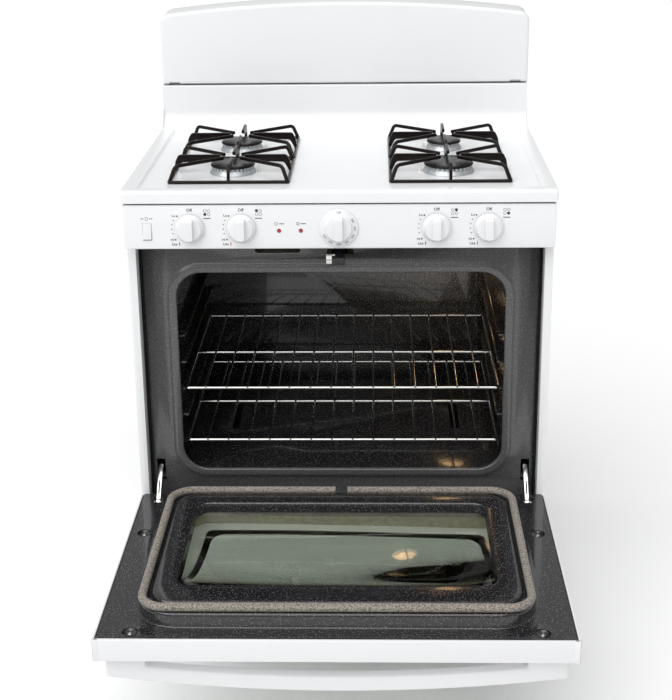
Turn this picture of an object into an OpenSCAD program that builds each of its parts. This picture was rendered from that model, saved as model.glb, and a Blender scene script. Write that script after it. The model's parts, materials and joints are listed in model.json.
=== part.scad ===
// Freestanding gas range, 30 inch class, with its oven door lowered.
// The origin lies on the floor, midway along the whole length with the door lowered.
// +X is to the right seen from the front, +Y points to the wall, +Z is up.

/* [Cabinet] */
// Width over the two side panels
body_w = 759; // [700:1:915]
// Depth from the front edge of the side panels to the rear panel
body_d = 612; // [580:1:740]
// Height of the cooktop rim above the floor
counter_z = 914; // [880:1:1000]
// Thickness of the sheet steel
sheet = 1.2; // [0.8:0.1:2]
// Width of the folded front edge of a side panel
flange_w = 15; // [12:1:20]
// Depth of the fold behind that front edge
flange_return = 30; // [10:1:32]
// Height of the side panels' lower edge
skirt_z = 25; // [20:1:40]
// Height of the bottom pan
pan_z = 60; // [50:1:64]
// Diameter of a levelling leg's foot
foot_d = 38; // [25:1:50]

/* [Cooktop] */
// Distance from the side panels' outer face to the cooktop's end
cook_in = 0.5; // [0:0.1:1]
// Overhang of the cooktop in front of the control panel
cook_over = 2; // [1:0.5:20]
// Height of the cooktop's front face
cook_face_h = 22; // [18:1:30]
// Drop from the rim to the cooking surface
cook_drop = 6; // [2:1:10]
// Width of the raised rim
rim_w = 22; // [12:1:30]
// Distance from the side panels' front edge to the splash wall
splash_y = 514; // [490:1:560]
// Radius of the cove that joins surface and splash wall
cove_r = 62; // [30:1:80]
// Height of the splash wall above the rim
splash_h = 85; // [60:1:110]

/* [Backguard] */
// Height of the backguard at its ends
guard_h = 142; // [100:1:200]
// Rise of the crowned top edge at the middle
crown = 24; // [0:1:40]
// Radius of the two upper corners
guard_r = 12; // [5:1:30]
// Seam between cooktop and backguard
guard_seam = 3; // [1:0.5:5]

/* [Control panel] */
// Distance from the side panels' outer face to the control panel's end
panel_in = 2.5; // [0:0.5:10]
// Height of the control panel
panel_h = 80; // [74:1:100]
// How far the panel stands in front of the side panels
panel_out = 40; // [38:1:50]
// Gap between panel and cooktop
panel_gap = 3; // [1:0.5:5]
// Distance of the inner burner knobs from the middle
knob_in_x = 170; // [120:1:190]
// Distance of the outer burner knobs from the middle
knob_out_x = 260; // [240:1:290]
// Height of the knob axes above the panel's lower edge
knob_up = 38; // [30:1:45]
// Diameter of a burner knob
knob_d = 50.5; // [40:0.5:56]
// Diameter of the oven knob's skirt
oven_knob_d = 68; // [60:1:72]
// Depth of the knobs
knob_depth = 21; // [16:1:26]
// Width of a knob's grip
grip_w = 14; // [10:0.5:18]
// Push travel of a burner knob
knob_push = 3; // [2:0.5:4]
// Diameter of the valve stems
stem_d = 6; // [5:0.5:8]
// Distance of the light switch from the side panels' outer face
switch_in = 44.5; // [30:0.5:50]
// Width of the light switch
switch_w = 15; // [10:1:20]
// Height of the light switch
switch_h = 29; // [20:1:36]

/* [Oven] */
// Distance from the side panels' outer face to the oven opening's edge
opening_in = 79.5; // [79:0.5:110]
// Corner radius of the oven opening
opening_r = 46; // [20:1:60]
// How far the front frame lies behind the side panels' front edge
frame_y = 36; // [34:1:41]
// Width of the raised seat around the opening
seat_w = 20; // [16:1:22]
// Height of the raised seat
seat_h = 5; // [3:0.5:6]
// Inside depth of the oven behind the front frame
cavity_d = 464; // [440:1:470]
// Distance from the opening's edge to the inner side wall
wall_step = 5; // [3:0.5:10]
// Thickness of the insulation
wool = 28; // [20:1:29]

/* [Racks] */
// Distance of the rack's front bar behind the front frame
rack_front = 7; // [5:1:20]
// Distance from the rack's rear bar to the oven's rear wall
rack_back = 51.2; // [30:0.1:120]
// Diameter of a rack's outer wire
rack_bar_d = 6; // [4:0.5:8]
// Diameter of a rack's long wires
rack_wire_d = 4; // [3:0.5:5]
// Spacing of the long wires
rack_pitch = 39.2; // [30:0.1:45]
// Height of the lowest rack guide above the oven's lower edge
guide_up = 52; // [40:1:60]
// Spacing of the rack guides
guide_pitch = 53; // [40:1:60]
// How far the guides stand out of the side wall
guide_out = 15; // [12:0.5:18]

/* [Door] */
// Distance from the side panels' outer face to the door's end
door_in = 1; // [0:0.5:5]
// Thickness of the door's rim
door_t = 38; // [34:1:45]
// Gap between the closed door and the control panel
vent_gap = 11; // [6:1:20]
// Depth of the hinge axis below the rim's inner face
hinge_in = 11; // [8:1:14]
// Length of the door beyond its hinge axis
door_tail = 14; // [8:1:15]
// Distance of the hinge arms from the side panels' outer face
arm_in = 34.5; // [31:0.5:42]
// Thickness of a hinge arm
arm_t = 8; // [4:0.5:8]
// Diameter of the hinge pins
pin_d = 8; // [6:0.5:10]
// Height of the gasket shelf above the rim
shelf_h = 25; // [20:1:30]
// Height of the raised middle above the gasket shelf
plateau_h = 8; // [4:1:10]
// Diameter of the gasket
gasket_d = 14; // [10:1:16]
// Gap that the gasket leaves to the seat
gasket_gap = 1; // [0.5:0.1:3]
// Width of the frame beside the window
window_side = 42; // [30:1:100]
// Width of the frame between the hinge side and the window
window_low = 46; // [30:1:80]
// Width of the frame between the window and the handle side
window_high = 61; // [40:1:90]
// Corner radius of the window
window_r = 22; // [10:1:40]
// Thickness of the glass panes
glass_t = 4; // [3:0.5:6]

/* [Handle] */
// Distance from the door's end to the handle's end
handle_in = 13.5; // [2:0.5:60]
// Length of each end block of the handle
handle_end = 64; // [40:1:80]
// How far the handle stands out at its ends
handle_end_out = 44; // [40:1:55]
// Further rise of the bow at its middle
handle_bow = 25; // [10:1:35]
// Thickness of the bow
handle_t = 26; // [18:1:30]
// Height of the handle along the door
handle_h = 24; // [18:1:30]
// Distance from the door's edge to the handle
handle_set = 24; // [15:1:40]

/* [Drawer] */
// Height of the drawer front's lower edge
drawer_z = 70; // [66:1:90]
// Height of the drawer front
drawer_h = 204; // [150:1:230]
// Depth of the drawer tray
tray_d = 500; // [400:1:520]
// Height of the drawer tray's walls
tray_h = 112; // [80:1:140]
// Gap between the drawer front and the swinging door
swing_gap = 2.6; // [1:0.1:6]

/* [Burners] */
// Distance of the burners from the middle
burner_x = 197.5; // [170:0.5:220]
// Distance of the front burners behind the side panels' front edge
burner_front = 124; // [115:1:140]
// Diameters of the caps: front left, rear left, front right, rear right
cap_ds = [81, 80, 90, 66];
// Height of a burner head above the cooking surface
head_h = 13; // [8:0.5:15]
// Height of a cap
cap_h = 5; // [4:0.5:7]

/* [Grates] */
// Width of a grate
grate_w = 220; // [200:1:240]
// Depth of a grate
grate_l = 188; // [170:1:190]
// Gap between the front and the rear grate
grate_gap = 3; // [2.5:0.5:20]
// Height of the grate's top above the cooking surface
grate_h = 33; // [26:1:40]
// Diameter of the grate's rods
grate_rod = 7; // [5:0.5:9]
// Distance of the finger tips from the burner's axis
finger_gap = 22; // [15:1:40]

/* [Hidden] */
$fn = 48;

// Fits
run_fit = 0.05;   // radial clearance of a turning or sliding fit
apart = 0.5;      // gap between pieces that move past each other
eps = 1;          // overshoot of a cutting shape

// Widths
opening_w = body_w - 2 * opening_in;
cook_w = body_w - 2 * cook_in;
panel_w = body_w - 2 * panel_in;
door_w = body_w - 2 * door_in;
handle_l = door_w - 2 * handle_in;
arm_x = body_w / 2 - arm_in;
arm_up = 54;
switch_x = body_w / 2 - switch_in;

// Heights
cook_bottom = counter_z - cook_face_h;
surface_z = counter_z - cook_drop;
panel_top = cook_bottom - panel_gap;
panel_z = panel_top - panel_h;
knob_z = panel_z + knob_up;
switch_z = knob_z - 6;
drawer_top = drawer_z + drawer_h;
door_back = door_t - hinge_in;
hinge_z = drawer_top + swing_gap + norm([door_tail, door_back]);
door_l = panel_z - vent_gap - hinge_z;
gasket_low = 35;
gasket_high = door_l - 46;
opening_z = hinge_z + gasket_low + seat_w / 2;
opening_h = gasket_high - gasket_low - seat_w;
floor_z = opening_z - 7;
ceiling_z = opening_z + opening_h + 8;
guard_z = counter_z + splash_h + guard_seam;
latch_z = panel_z - 33;
roof_z = min(ceiling_z + sheet + wool - 8, latch_z - 3.5);

// Depths, from the side panels' front edge
cook_front = panel_out + cook_over;
seat_y = frame_y - seat_h;
hinge_y = seat_y - gasket_gap - gasket_d - shelf_h - hinge_in;
cavity_y = frame_y + sheet;
latch_y = frame_y + 40;
cavity_back = cavity_y + cavity_d;
rack_d = cavity_back - rack_back - frame_y - rack_front;
wall_x = opening_w / 2 + wall_step;
front_y = (door_l - hinge_y - body_d) / 2;
manifold_y = 14;
manifold_r = 9;
valve_y = -22;
supply_z = knob_z + manifold_r + 6;
tube_r = 4;
supply_x = body_w / 2 - flange_w - 12;
inlet_x = body_w / 2 - 79;
inlet_z = pan_z + 80;
burner_rear = burner_front + grate_l + grate_gap;

// Door, measured from the hinge axis: rim and outer face
rim_w0 = hinge_in;
shelf_w0 = rim_w0 + shelf_h;
plateau_w0 = shelf_w0 + plateau_h;
outer_w0 = -door_back;
gasket_half = opening_w / 2 + seat_w / 2;
gasket_r = opening_r + seat_w / 2;
shelf_half = gasket_half + gasket_d;
plateau_half = gasket_half - gasket_d / 2 - 3;
plateau_low = gasket_low + gasket_d / 2 + 3;
plateau_high = gasket_high - gasket_d / 2 - 3;
window_half = plateau_half - window_side;
window_u0 = plateau_low + window_low;
window_u1 = plateau_high - window_high;
outer_pane_half = window_half - 20;
pocket_w = 20;
rack_half = wall_x - 12;
latch_pin_r = 3;
flue_y = max(cavity_back + sheet + wool, splash_y + 12) + 1;
knob_xs = [-knob_out_x, -knob_in_x, knob_in_x, knob_out_x];
burner_at = [[-burner_x, burner_front], [-burner_x, burner_rear],
    [burner_x, burner_front], [burner_x, burner_rear]];
// Order in which the knobs serve the burners
knob_burner = [0, 1, 3, 2];
leg_x = body_w / 2 - 30;
leg_ys = [60, body_d - 40];
door_screw_at = [[arm_x - 23, door_l - 15], [arm_x - 1, 143]];

// Puts the cabinet's own frame, at the side panels' front edge, into the part's frame
module cabinet() {
    translate([0, front_y, 0])
        children();
}

// Puts the door's own frame, on the hinge axis, into the part's frame
module on_hinge() {
    translate([0, front_y + hinge_y, hinge_z])
        children();
}

// Box between two corners
module block(low, high) {
    translate(low)
        cube(high - low);
}

// Flat rectangle with round corners between two corners
module rounded(low, high, r) {
    translate([low[0] + r, low[1]])
        square([high[0] - low[0] - 2 * r, high[1] - low[1]]);
    translate([low[0], low[1] + r])
        square([high[0] - low[0], high[1] - low[1] - 2 * r]);
    for (x = [low[0] + r, high[0] - r], y = [low[1] + r, high[1] - r])
        translate([x, y])
            circle(r);
}

// Upright rounded block seen from the front, from y0 back to y1
module upright(low, high, r, y0, y1) {
    translate([0, y1, 0])
        rotate([90, 0, 0])
            linear_extrude(y1 - y0)
                rounded(low, high, r);
}

// Rounded block lying in the lowered door, symmetric about its middle
module in_door(half, u0, u1, r, w0, w1) {
    translate([0, 0, w0])
        linear_extrude(w1 - w0)
            rounded([-half, -u1], [half, -u0], r);
}

// Straight rod between two points
module rod(a, b, r, sides = 12) {
    d = b - a;
    l = norm(d);
    translate(a)
        rotate([0, acos(d[2] / l), atan2(d[1], d[0])])
            cylinder(h = l, r = r, $fn = sides);
}

// Cylinder along +Y
module along_y(at, r, l) {
    translate(at)
        rotate([-90, 0, 0])
            cylinder(h = l, r = r);
}

// Cylinder along +X
module along_x(at, r, l) {
    translate(at)
        rotate([0, 90, 0])
            cylinder(h = l, r = r);
}

function flipped(list) = [for (i = [len(list) - 1:-1:0]) list[i]];

function arc(c, r, a0, a1, n) =
    [for (i = [0:n]) c + r * [cos(a0 + (a1 - a0) * i / n), sin(a0 + (a1 - a0) * i / n)]];

// ---- cabinet -------------------------------------------------------------

module side_panel(side) {
    color("white") cabinet()
        mirror([side < 0 ? 1 : 0, 0, 0]) {
            block([body_w / 2 - sheet, 0, skirt_z], [body_w / 2, body_d, cook_bottom]);
            block([body_w / 2 - flange_w, 0, skirt_z], [body_w / 2, sheet, panel_top]);
            block([body_w / 2 - flange_w, 0, skirt_z],
                [body_w / 2 - flange_w + sheet, flange_return, panel_top]);
        }
}

module rear_panel() {
    slot_w = 60;
    color("lightgray") cabinet()
        difference() {
            union() {
                block([-body_w / 2 + sheet, body_d - sheet, pan_z + sheet],
                    [body_w / 2 - sheet, body_d, guard_z + 5]);
                translate([0, body_d, 0])
                    rotate([90, 0, 0])
                        linear_extrude(sheet)
                            polygon(guard_path(sheet));
            }
            for (i = [-3:3], row = [0:3])
                upright([i * 80 - slot_w / 2, cook_bottom + 20 + row * 20],
                    [i * 80 + slot_w / 2, cook_bottom + 26 + row * 20], 2.9, body_d - 5, body_d + eps);
            upright([inlet_x - 34, inlet_z - 34], [inlet_x + 34, inlet_z + 34], 8, body_d - 5, body_d + eps);
            along_y([-inlet_x, body_d - 5, inlet_z], 10, 5 + eps);
        }
    // bush for the supply cord
    color("lightgray") cabinet()
        difference() {
            along_y([-inlet_x, body_d - 12, inlet_z], 12, 12);
            along_y([-inlet_x, body_d - 12 - eps, inlet_z], 8, 12 + 2 * eps);
        }
}

module base_frame() {
    rail = 36;
    inner = body_w / 2 - sheet;
    color("dimgray") cabinet()
        difference() {
            union() {
                block([-inner, 36, pan_z], [inner, body_d - sheet, pan_z + sheet]);
                for (y = [leg_ys[0] - rail / 2, leg_ys[1] - rail / 2])
                    block([-inner, y, skirt_z + 3], [inner, y + rail, pan_z]);
            }
            for (x = [-leg_x, leg_x], y = leg_ys)
                translate([x, y, skirt_z])
                    cylinder(h = pan_z, r = 5 + run_fit);
        }
}

module levelling_legs() {
    color("dimgray") cabinet()
        for (x = [-leg_x, leg_x], y = leg_ys)
            translate([x, y, 0]) {
                cylinder(h = 8, r = foot_d / 2);
                cylinder(h = 20, r = 11, $fn = 6);
                cylinder(h = pan_z + 3, r = 5);
            }
}

module front_frame() {
    half = body_w / 2 - flange_w - 5.5;
    top = knob_z - 14;
    return_d = 34;
    open_half = opening_w / 2;
    low = [-open_half, opening_z];
    high = [open_half, opening_z + opening_h];
    color("dimgray") cabinet()
        difference() {
            union() {
                block([-half, frame_y, drawer_top + 6], [half, frame_y + sheet, top]);
                upright(low - [seat_w, seat_w], high + [seat_w, seat_w], opening_r + seat_w,
                    seat_y, frame_y + sheet);
            }
            upright(low, high, opening_r, seat_y - eps, frame_y + sheet + eps);
            // slots of the two hinge arms
            for (x = [-arm_x, arm_x])
                block([x - arm_t, frame_y - eps, hinge_z + arm_up - 34],
                    [x + arm_t, frame_y + 2 * sheet, hinge_z + arm_up + 10]);
            // opening of the latch
            block([-24, frame_y - eps, latch_z - 3], [24, frame_y + 2 * sheet, latch_z + 13]);
            // cooling slot beside the latch
            upright([-154, panel_z - 30], [-72, panel_z - 20], 4.9, frame_y - eps, frame_y + 2 * sheet);
        }
    color("dimgray") cabinet() {
        // returns that join the frame to the side panels
        for (side = [0, 1])
            mirror([side, 0, 0]) {
                block([half - sheet, frame_y, drawer_top + 6], [half, frame_y + return_d, top]);
                block([half - sheet, frame_y + return_d - sheet, drawer_top + 6],
                    [body_w / 2 - sheet, frame_y + return_d, top]);
            }
        // receivers that hold the hinge arms
        for (x = [-arm_x, arm_x])
            difference() {
                block([x - arm_t - 3, cavity_y - 0.2, hinge_z + arm_up - 27],
                    [x + arm_t + 3, cavity_y + 38, hinge_z + arm_up + 12]);
                block([x - arm_t - 1.5, cavity_y - eps, hinge_z + arm_up - 24],
                    [x + arm_t + 1.5, cavity_y + 38 + eps, hinge_z + arm_up + 10]);
            }
        // tabs under the gas manifold
        for (x = [-100, 100]) {
            block([x - 10, frame_y, top - eps], [x + 10, frame_y + sheet, knob_z - manifold_r]);
            block([x - 10, manifold_y - 4, knob_z - manifold_r - sheet],
                [x + 10, frame_y + sheet, knob_z - manifold_r]);
        }
        // shelf and pin that carry the latch
        block([-38, cavity_y - 0.2, latch_z - 3], [42, cavity_y + 6, latch_z - apart]);
        block([-14, cavity_y, latch_z - 3], [14, latch_y + 16, latch_z - apart]);
        translate([0, latch_y, latch_z - 1])
            cylinder(h = 8, r = latch_pin_r);
    }
}

// ---- oven ----------------------------------------------------------------

module oven_wall(side) {
    guides = 5;
    color("dimgray") cabinet()
        mirror([side < 0 ? 1 : 0, 0, 0]) {
            block([wall_x, cavity_y, floor_z - 50], [wall_x + sheet, cavity_back, ceiling_z]);
            for (i = [0:guides - 1])
                block([wall_x - guide_out, cavity_y + 14, guide_z(i) - 5],
                    [wall_x, cavity_back - 6, guide_z(i)]);
        }
}

function guide_z(i) = opening_z + guide_up + i * guide_pitch;

module oven_ceiling() {
    color("dimgray") cabinet()
        difference() {
            block([-wall_x - sheet, cavity_y, ceiling_z], [wall_x + sheet, cavity_back, ceiling_z + sheet]);
            upright_hole(0, cavity_back - 40, ceiling_z, 20);
        }
}

// Round hole down through a level sheet
module upright_hole(x, y, z, r) {
    translate([x, y, z - eps])
        cylinder(h = sheet + 2 * eps, r = r);
}

module oven_rear_wall() {
    color("dimgray") cabinet()
        difference() {
            block([-wall_x - sheet, cavity_back, floor_z - 50],
                [wall_x + sheet, cavity_back + sheet, ceiling_z + sheet]);
            along_y([lamp_x(), cavity_back - eps, lamp_z()], 30, 3 * eps);
            along_y([-lamp_x(), cavity_back - eps, sensor_z()], 3.5, 3 * eps);
        }
}

function lamp_x() = wall_x - 80;
function lamp_z() = ceiling_z - 70;
function sensor_z() = ceiling_z - 26;

module oven_floor() {
    half = wall_x - apart;
    slot_x = 225;
    color("dimgray") cabinet()
        difference() {
            block([-half, cavity_y + 2, floor_z - sheet], [half, cavity_back - apart, floor_z]);
            for (x = [-slot_x, slot_x])
                block([x - 9, cavity_y + 200, floor_z - 2 * sheet], [x + 9, cavity_y + 330, floor_z + eps]);
        }
}

module oven_insulation() {
    x0 = wall_x + sheet;
    x1 = min(x0 + wool - 2, arm_x - arm_t - 3.5);
    z1 = ceiling_z + sheet;
    y1 = cavity_back + sheet;
    color("khaki") cabinet() {
        for (side = [0, 1])
            mirror([side, 0, 0])
                block([x0, cavity_y + 2, floor_z - 40], [x1, y1, z1]);
        difference() {
            block([-x0, cavity_y + 2, z1 + 0.2], [x0, y1, roof_z]);
            translate([0, cavity_back - 40, z1 - eps])
                cylinder(h = wool + 2 * eps, r = 22);
        }
        difference() {
            block([-x0, y1 + 0.2, floor_z - 40], [x0, y1 + wool, z1]);
            along_y([lamp_x(), y1 - eps, lamp_z()], 32, wool + 3 * eps);
            along_y([-lamp_x(), y1 - eps, sensor_z()], 4, wool + 3 * eps);
        }
    }
}

module bake_burner() {
    z = floor_z - 28;
    color("silver") cabinet() {
        along_y([0, cavity_y + 40, z], 10, cavity_d - 42);
        for (x = [-1, 1])
            block([x * 60 - 55, cavity_y + 60, z - 3], [x * 60 + 55, cavity_y + 63, z + 3]);
        block([-14, cavity_back - 3, z - 14], [14, cavity_back, z + 14]);
    }
}

module broil_burner() {
    z = ceiling_z - 22;
    color("silver") cabinet() {
        along_y([0, cavity_y + 70, z], 9, cavity_d - 71);
        block([-110, cavity_y + 90, z - 4], [110, cavity_back - 130, z - 1]);
        for (y = [cavity_y + 120, cavity_back - 160])
            block([-6, y, z], [6, y + 6, ceiling_z]);
    }
}

module oven_lamp() {
    color("ivory") cabinet() {
        difference() {
            union() {
                along_y([lamp_x(), cavity_back - 24, lamp_z()], 27, 24);
                along_y([lamp_x(), cavity_back - 3, lamp_z()], 34, 3);
            }
            along_y([lamp_x(), cavity_back - 21, lamp_z()], 24, 25);
        }
        along_y([lamp_x(), cavity_back, lamp_z()], 29.5, 10);
    }
}

module temperature_sensor() {
    color("silver") cabinet() {
        along_y([-lamp_x(), cavity_back - 110, sensor_z()], 3, 125);
        block([-lamp_x() - 14, cavity_back - 1.5, sensor_z() - 8], [-lamp_x() + 14, cavity_back, sensor_z() + 8]);
    }
}

module flue_duct() {
    half = 70;
    neck = 24;
    neck_y = cavity_back - 65;
    color("lightgray") cabinet()
        difference() {
            union() {
                block([-half, flue_y, ceiling_z - 40], [half, body_d - sheet, guard_z + 20]);
                block([-neck, neck_y, roof_z], [neck, flue_y, roof_z + 22]);
            }
            block([-half + sheet, flue_y + sheet, ceiling_z - 40 + sheet],
                [half - sheet, body_d - 2 * sheet, guard_z + 20 + eps]);
            block([-neck + sheet, neck_y + sheet, roof_z - eps],
                [neck - sheet, flue_y + 2 * sheet, roof_z + 22 - sheet]);
        }
}

// ---- cooktop and backguard -------------------------------------------------

// Outline of the cooktop from its front lower edge to the top of the splash wall
function cook_path(t) = concat(
    [[-cook_front + t, cook_bottom]],
    arc([-cook_front + 8, counter_z - 8], 8 - t, 180, 90, 8),
    [[-cook_front + rim_w - t / 2, counter_z - t], [-cook_front + rim_w + 8 - t / 2, surface_z - t]],
    arc([splash_y - cove_r, surface_z + cove_r], cove_r + t, -90, 0, 12),
    [[splash_y + t, counter_z + splash_h]]);

module cooktop() {
    half = cook_w / 2;
    back = body_d - sheet - apart;
    top = counter_z + splash_h;
    color("white") cabinet()
        difference() {
            union() {
                translate([-half, 0, 0])
                    rotate([90, 0, 90])
                        linear_extrude(cook_w)
                            polygon(concat(cook_path(0), flipped(cook_path(sheet))));
                for (x = [-half, half - sheet])
                    translate([x, 0, 0])
                        rotate([90, 0, 90])
                            linear_extrude(sheet)
                                polygon(concat(cook_path(0),
                                    [[back, top], [back, cook_bottom]]));
                for (x = [-half, half - rim_w])
                    block([x, -cook_front + rim_w, surface_z - sheet],
                        [x + rim_w, splash_y - cove_r, counter_z]);
                block([-half, splash_y, top - sheet], [half, flue_y - apart, top]);
            }
            for (i = [0:3])
                translate([burner_at[i][0], burner_at[i][1], surface_z - 5])
                    cylinder(h = 10, r = cap_ds[i] / 2 - 8);
            for (i = [0:3])
                translate([electrode_x(i), burner_at[i][1], surface_z - 5])
                    cylinder(h = 10, r = 3.4);
        }
}

// Outline of the backguard, set in by t
function guard_path(t) = let(half = body_w / 2 - t, top = guard_z + guard_h - t, r = guard_r - t)
    concat([[half, guard_z]],
        arc([half - r, top - r], r, 0, 84, 6),
        [for (i = [-8:8]) let(f = -i / 8) [f * (half - r), top + crown * (1 - f * f)]],
        arc([-half + r, top - r], r, 96, 180, 6),
        [[-half, guard_z]]);

module backguard() {
    y1 = body_d - sheet;
    color("white") cabinet()
        difference() {
            translate([0, y1, 0])
                rotate([90, 0, 0])
                    linear_extrude(y1 - splash_y)
                        polygon(guard_path(0));
            translate([0, y1 + eps, -eps])
                rotate([90, 0, 0])
                    linear_extrude(y1 - splash_y - sheet + eps)
                        polygon(guard_path(sheet));
            for (x = [-1, 1])
                translate([x * (body_w / 2 - 26), splash_y, guard_z + 2.5])
                    cube([22, 6, 5], center = true);
        }
}

module control_panel() {
    half = panel_w / 2;
    y0 = -panel_out;
    housing = switch_w / 2 + 2;
    color("white") cabinet() {
        difference() {
            block([-half, y0, panel_z], [half, 0, panel_top]);
            block([-half + sheet, y0 + sheet, panel_z + sheet], [half - sheet, eps, panel_top - sheet]);
            for (x = knob_xs)
                along_y([x, y0 - eps, knob_z], stem_d / 2 + 1.5, 4 * eps);
            along_y([0, y0 - eps, knob_z], stem_d / 2 + 1.5, 4 * eps);
            for (x = light_xs())
                along_y([x, y0 - eps, knob_z - 5], 3.75, 4 * eps);
            block([-switch_x - switch_w / 2 - apart, y0 - eps, switch_z - switch_h / 2 - 1.2],
                [-switch_x + switch_w / 2 + apart, y0 + 2 * eps, switch_z + switch_h / 2 + 1.2]);
        }
        // cheeks that carry the light switch
        difference() {
            for (x = [-switch_x - housing, -switch_x + housing - 1])
                block([x, y0 + sheet, switch_z - 7], [x + 1, y0 + 14, switch_z + 7]);
            along_x([-switch_x - 2 * housing, y0 + 7, switch_z], 1.5 + run_fit, 4 * housing);
        }
    }
}

function light_xs() = [-104, -66];

module indicator_lights() {
    color("firebrick") cabinet()
        for (x = light_xs()) {
            along_y([x, -panel_out - 1.5, knob_z - 5], 3.7, 12);
            along_y([x, -panel_out + sheet, knob_z - 5], 5.5, 5);
        }
}

// ---- gas train -------------------------------------------------------------

module gas_manifold() {
    z = knob_z;
    back = body_d - 32;
    color("silver") cabinet() {
        along_x([-knob_out_x - 30, manifold_y, z], manifold_r, knob_out_x + 30 + supply_x);
        along_y([supply_x, manifold_y, z], manifold_r, back - manifold_y);
        translate([supply_x, back, inlet_z])
            cylinder(h = z - inlet_z + manifold_r, r = manifold_r);
        along_x([inlet_x + 24, back, inlet_z], manifold_r - 1, supply_x - inlet_x - 24);
    }
}

module burner_valves() {
    color("goldenrod") cabinet()
        for (x = knob_xs)
            difference() {
                union() {
                    block([x - 12, valve_y, knob_z - 10], [x + 12, manifold_y - manifold_r, knob_z + 9]);
                    translate([x, manifold_y - manifold_r - 12, knob_z + 9])
                        cylinder(h = supply_z - tube_r - knob_z - 9, r = 5);
                }
                along_y([x, valve_y - eps, knob_z], stem_d / 2 + run_fit, 10 + eps);
            }
}

module burner_supply_tubes() {
    r = tube_r;
    y0 = manifold_y - manifold_r - 12;
    color("silver") cabinet()
        for (i = [0:3]) {
            at = burner_at[knob_burner[i]];
            z = supply_z;
            rod([knob_xs[i], y0, z - r], [knob_xs[i], y0, z + r], r);
            rod([knob_xs[i], y0, z], [knob_xs[i], at[1], z], r);
            rod([knob_xs[i], at[1], z], [at[0], at[1], z], r);
            rod([at[0], at[1], z - r], [at[0], at[1], cook_bottom - 16], r);
        }
}

module pressure_regulator() {
    back = body_d - 32;
    color("silver") cabinet()
        difference() {
            union() {
                translate([inlet_x, back, inlet_z - 15])
                    cylinder(h = 34, r = 24);
                translate([inlet_x, back, inlet_z + 19])
                    cylinder(h = 10, r = 14);
                along_y([inlet_x, back, inlet_z], 14, 30);
            }
            along_y([inlet_x, back + 10, inlet_z], 9.5, 21);
        }
}

module burner_heads() {
    color("gainsboro") cabinet()
        for (i = [0:3])
            translate([burner_at[i][0], burner_at[i][1], 0])
                burner_head(cap_ds[i] / 2, sign(burner_at[i][0]));
}

// One burner head: base below the cooktop, skirt, ported ring and a lug for the electrode
module burner_head(r, side) {
    ports = 24;
    lug = cook_bottom - 18;
    mirror([side > 0 ? 1 : 0, 0, 0])
        block([r - 16, -5, lug], [r + 12, 5, lug + 3]);
    difference() {
        union() {
            translate([0, 0, cook_bottom - 16])
                cylinder(h = surface_z - cook_bottom + 14, r = r - 9);
            rotate_extrude()
                polygon([[0, surface_z - 2.5], [r - 8.5, surface_z - 2.5], [r - 8.5, surface_z],
                    [r + 2, surface_z], [r - 4, surface_z + head_h - 4.5],
                    [r - 4, surface_z + head_h], [0, surface_z + head_h]]);
        }
        for (i = [0:ports - 1])
            rotate([0, 0, i * 360 / ports])
                translate([r - 8, -0.8, surface_z + head_h - 3.5])
                    cube([8, 1.6, 4]);
    }
}

module burner_caps() {
    color("black") cabinet()
        for (i = [0:3])
            translate([burner_at[i][0], burner_at[i][1], surface_z + head_h])
                rotate_extrude()
                    polygon([[0, 0], [cap_ds[i] / 2 - 1, 0], [cap_ds[i] / 2, 1],
                        [cap_ds[i] / 2, cap_h - 2], [cap_ds[i] / 2 - 2, cap_h - 0.5],
                        [cap_ds[i] / 2 - 10, cap_h], [0, cap_h]]);
}

function electrode_x(i) = burner_at[i][0] + sign(burner_at[i][0]) * (-cap_ds[i] / 2 - 7);

module igniters() {
    color("white") cabinet() {
        for (i = [0:3])
            translate([electrode_x(i), burner_at[i][1], cook_bottom - 15]) {
                cylinder(h = surface_z - cook_bottom + 23, r = 2.8);
                cylinder(h = surface_z - cook_bottom + 27, r = 0.8);
            }
        block([10, cavity_y + 80, floor_z - 36], [28, cavity_y + 150, floor_z - 20]);
        block([-128, cavity_y + 100, ceiling_z - 30], [-110, cavity_y + 170, ceiling_z - 16]);
    }
}

module oven_thermostat() {
    color("gray") cabinet()
        difference() {
            block([-28, valve_y, knob_z - 24], [28, manifold_y - manifold_r, knob_z + 24]);
            along_y([0, valve_y - eps, knob_z], stem_d / 2 + run_fit, 12 + eps);
        }
}

// ---- grates ------------------------------------------------------------------

// One grate over burner i: ring, four corner rods and four middle fingers
module grate(i) {
    r = grate_rod / 2;
    hx = grate_w / 2 - r;
    hy = grate_l / 2 - r;
    z0 = surface_z + 3.2;
    z1 = surface_z + grate_h - r;
    inset = 11;
    blade = 14;
    color("black") cabinet()
        translate([burner_at[i][0], burner_at[i][1], 0]) {
            for (s = [-1, 1]) {
                rod([-hx, s * hy, z0], [hx, s * hy, z0], 3);
                rod([s * hx, -hy, z0], [s * hx, hy, z0], 3);
                for (t = [-1, 1]) {
                    tip = finger_gap * [s * 0.75, t * 0.65];
                    shoulder = [s * (hx - inset), t * (hy - inset)];
                    rod([s * hx, t * hy, z0 + 0.5], [shoulder[0], shoulder[1], z1], r);
                    rod([shoulder[0], shoulder[1], z1], [tip[0], tip[1], z1], r);
                    translate([s * hx, t * hy, surface_z])
                        cylinder(h = 6, r = r + 1);
                }
                // fingers on the middle of each side
                for (turn = [0, 1])
                    rotate([0, 0, turn * 90])
                        finger(s, (turn == 0 ? hx : hy), z0, z1 + r, blade);
            }
        }
}

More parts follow.
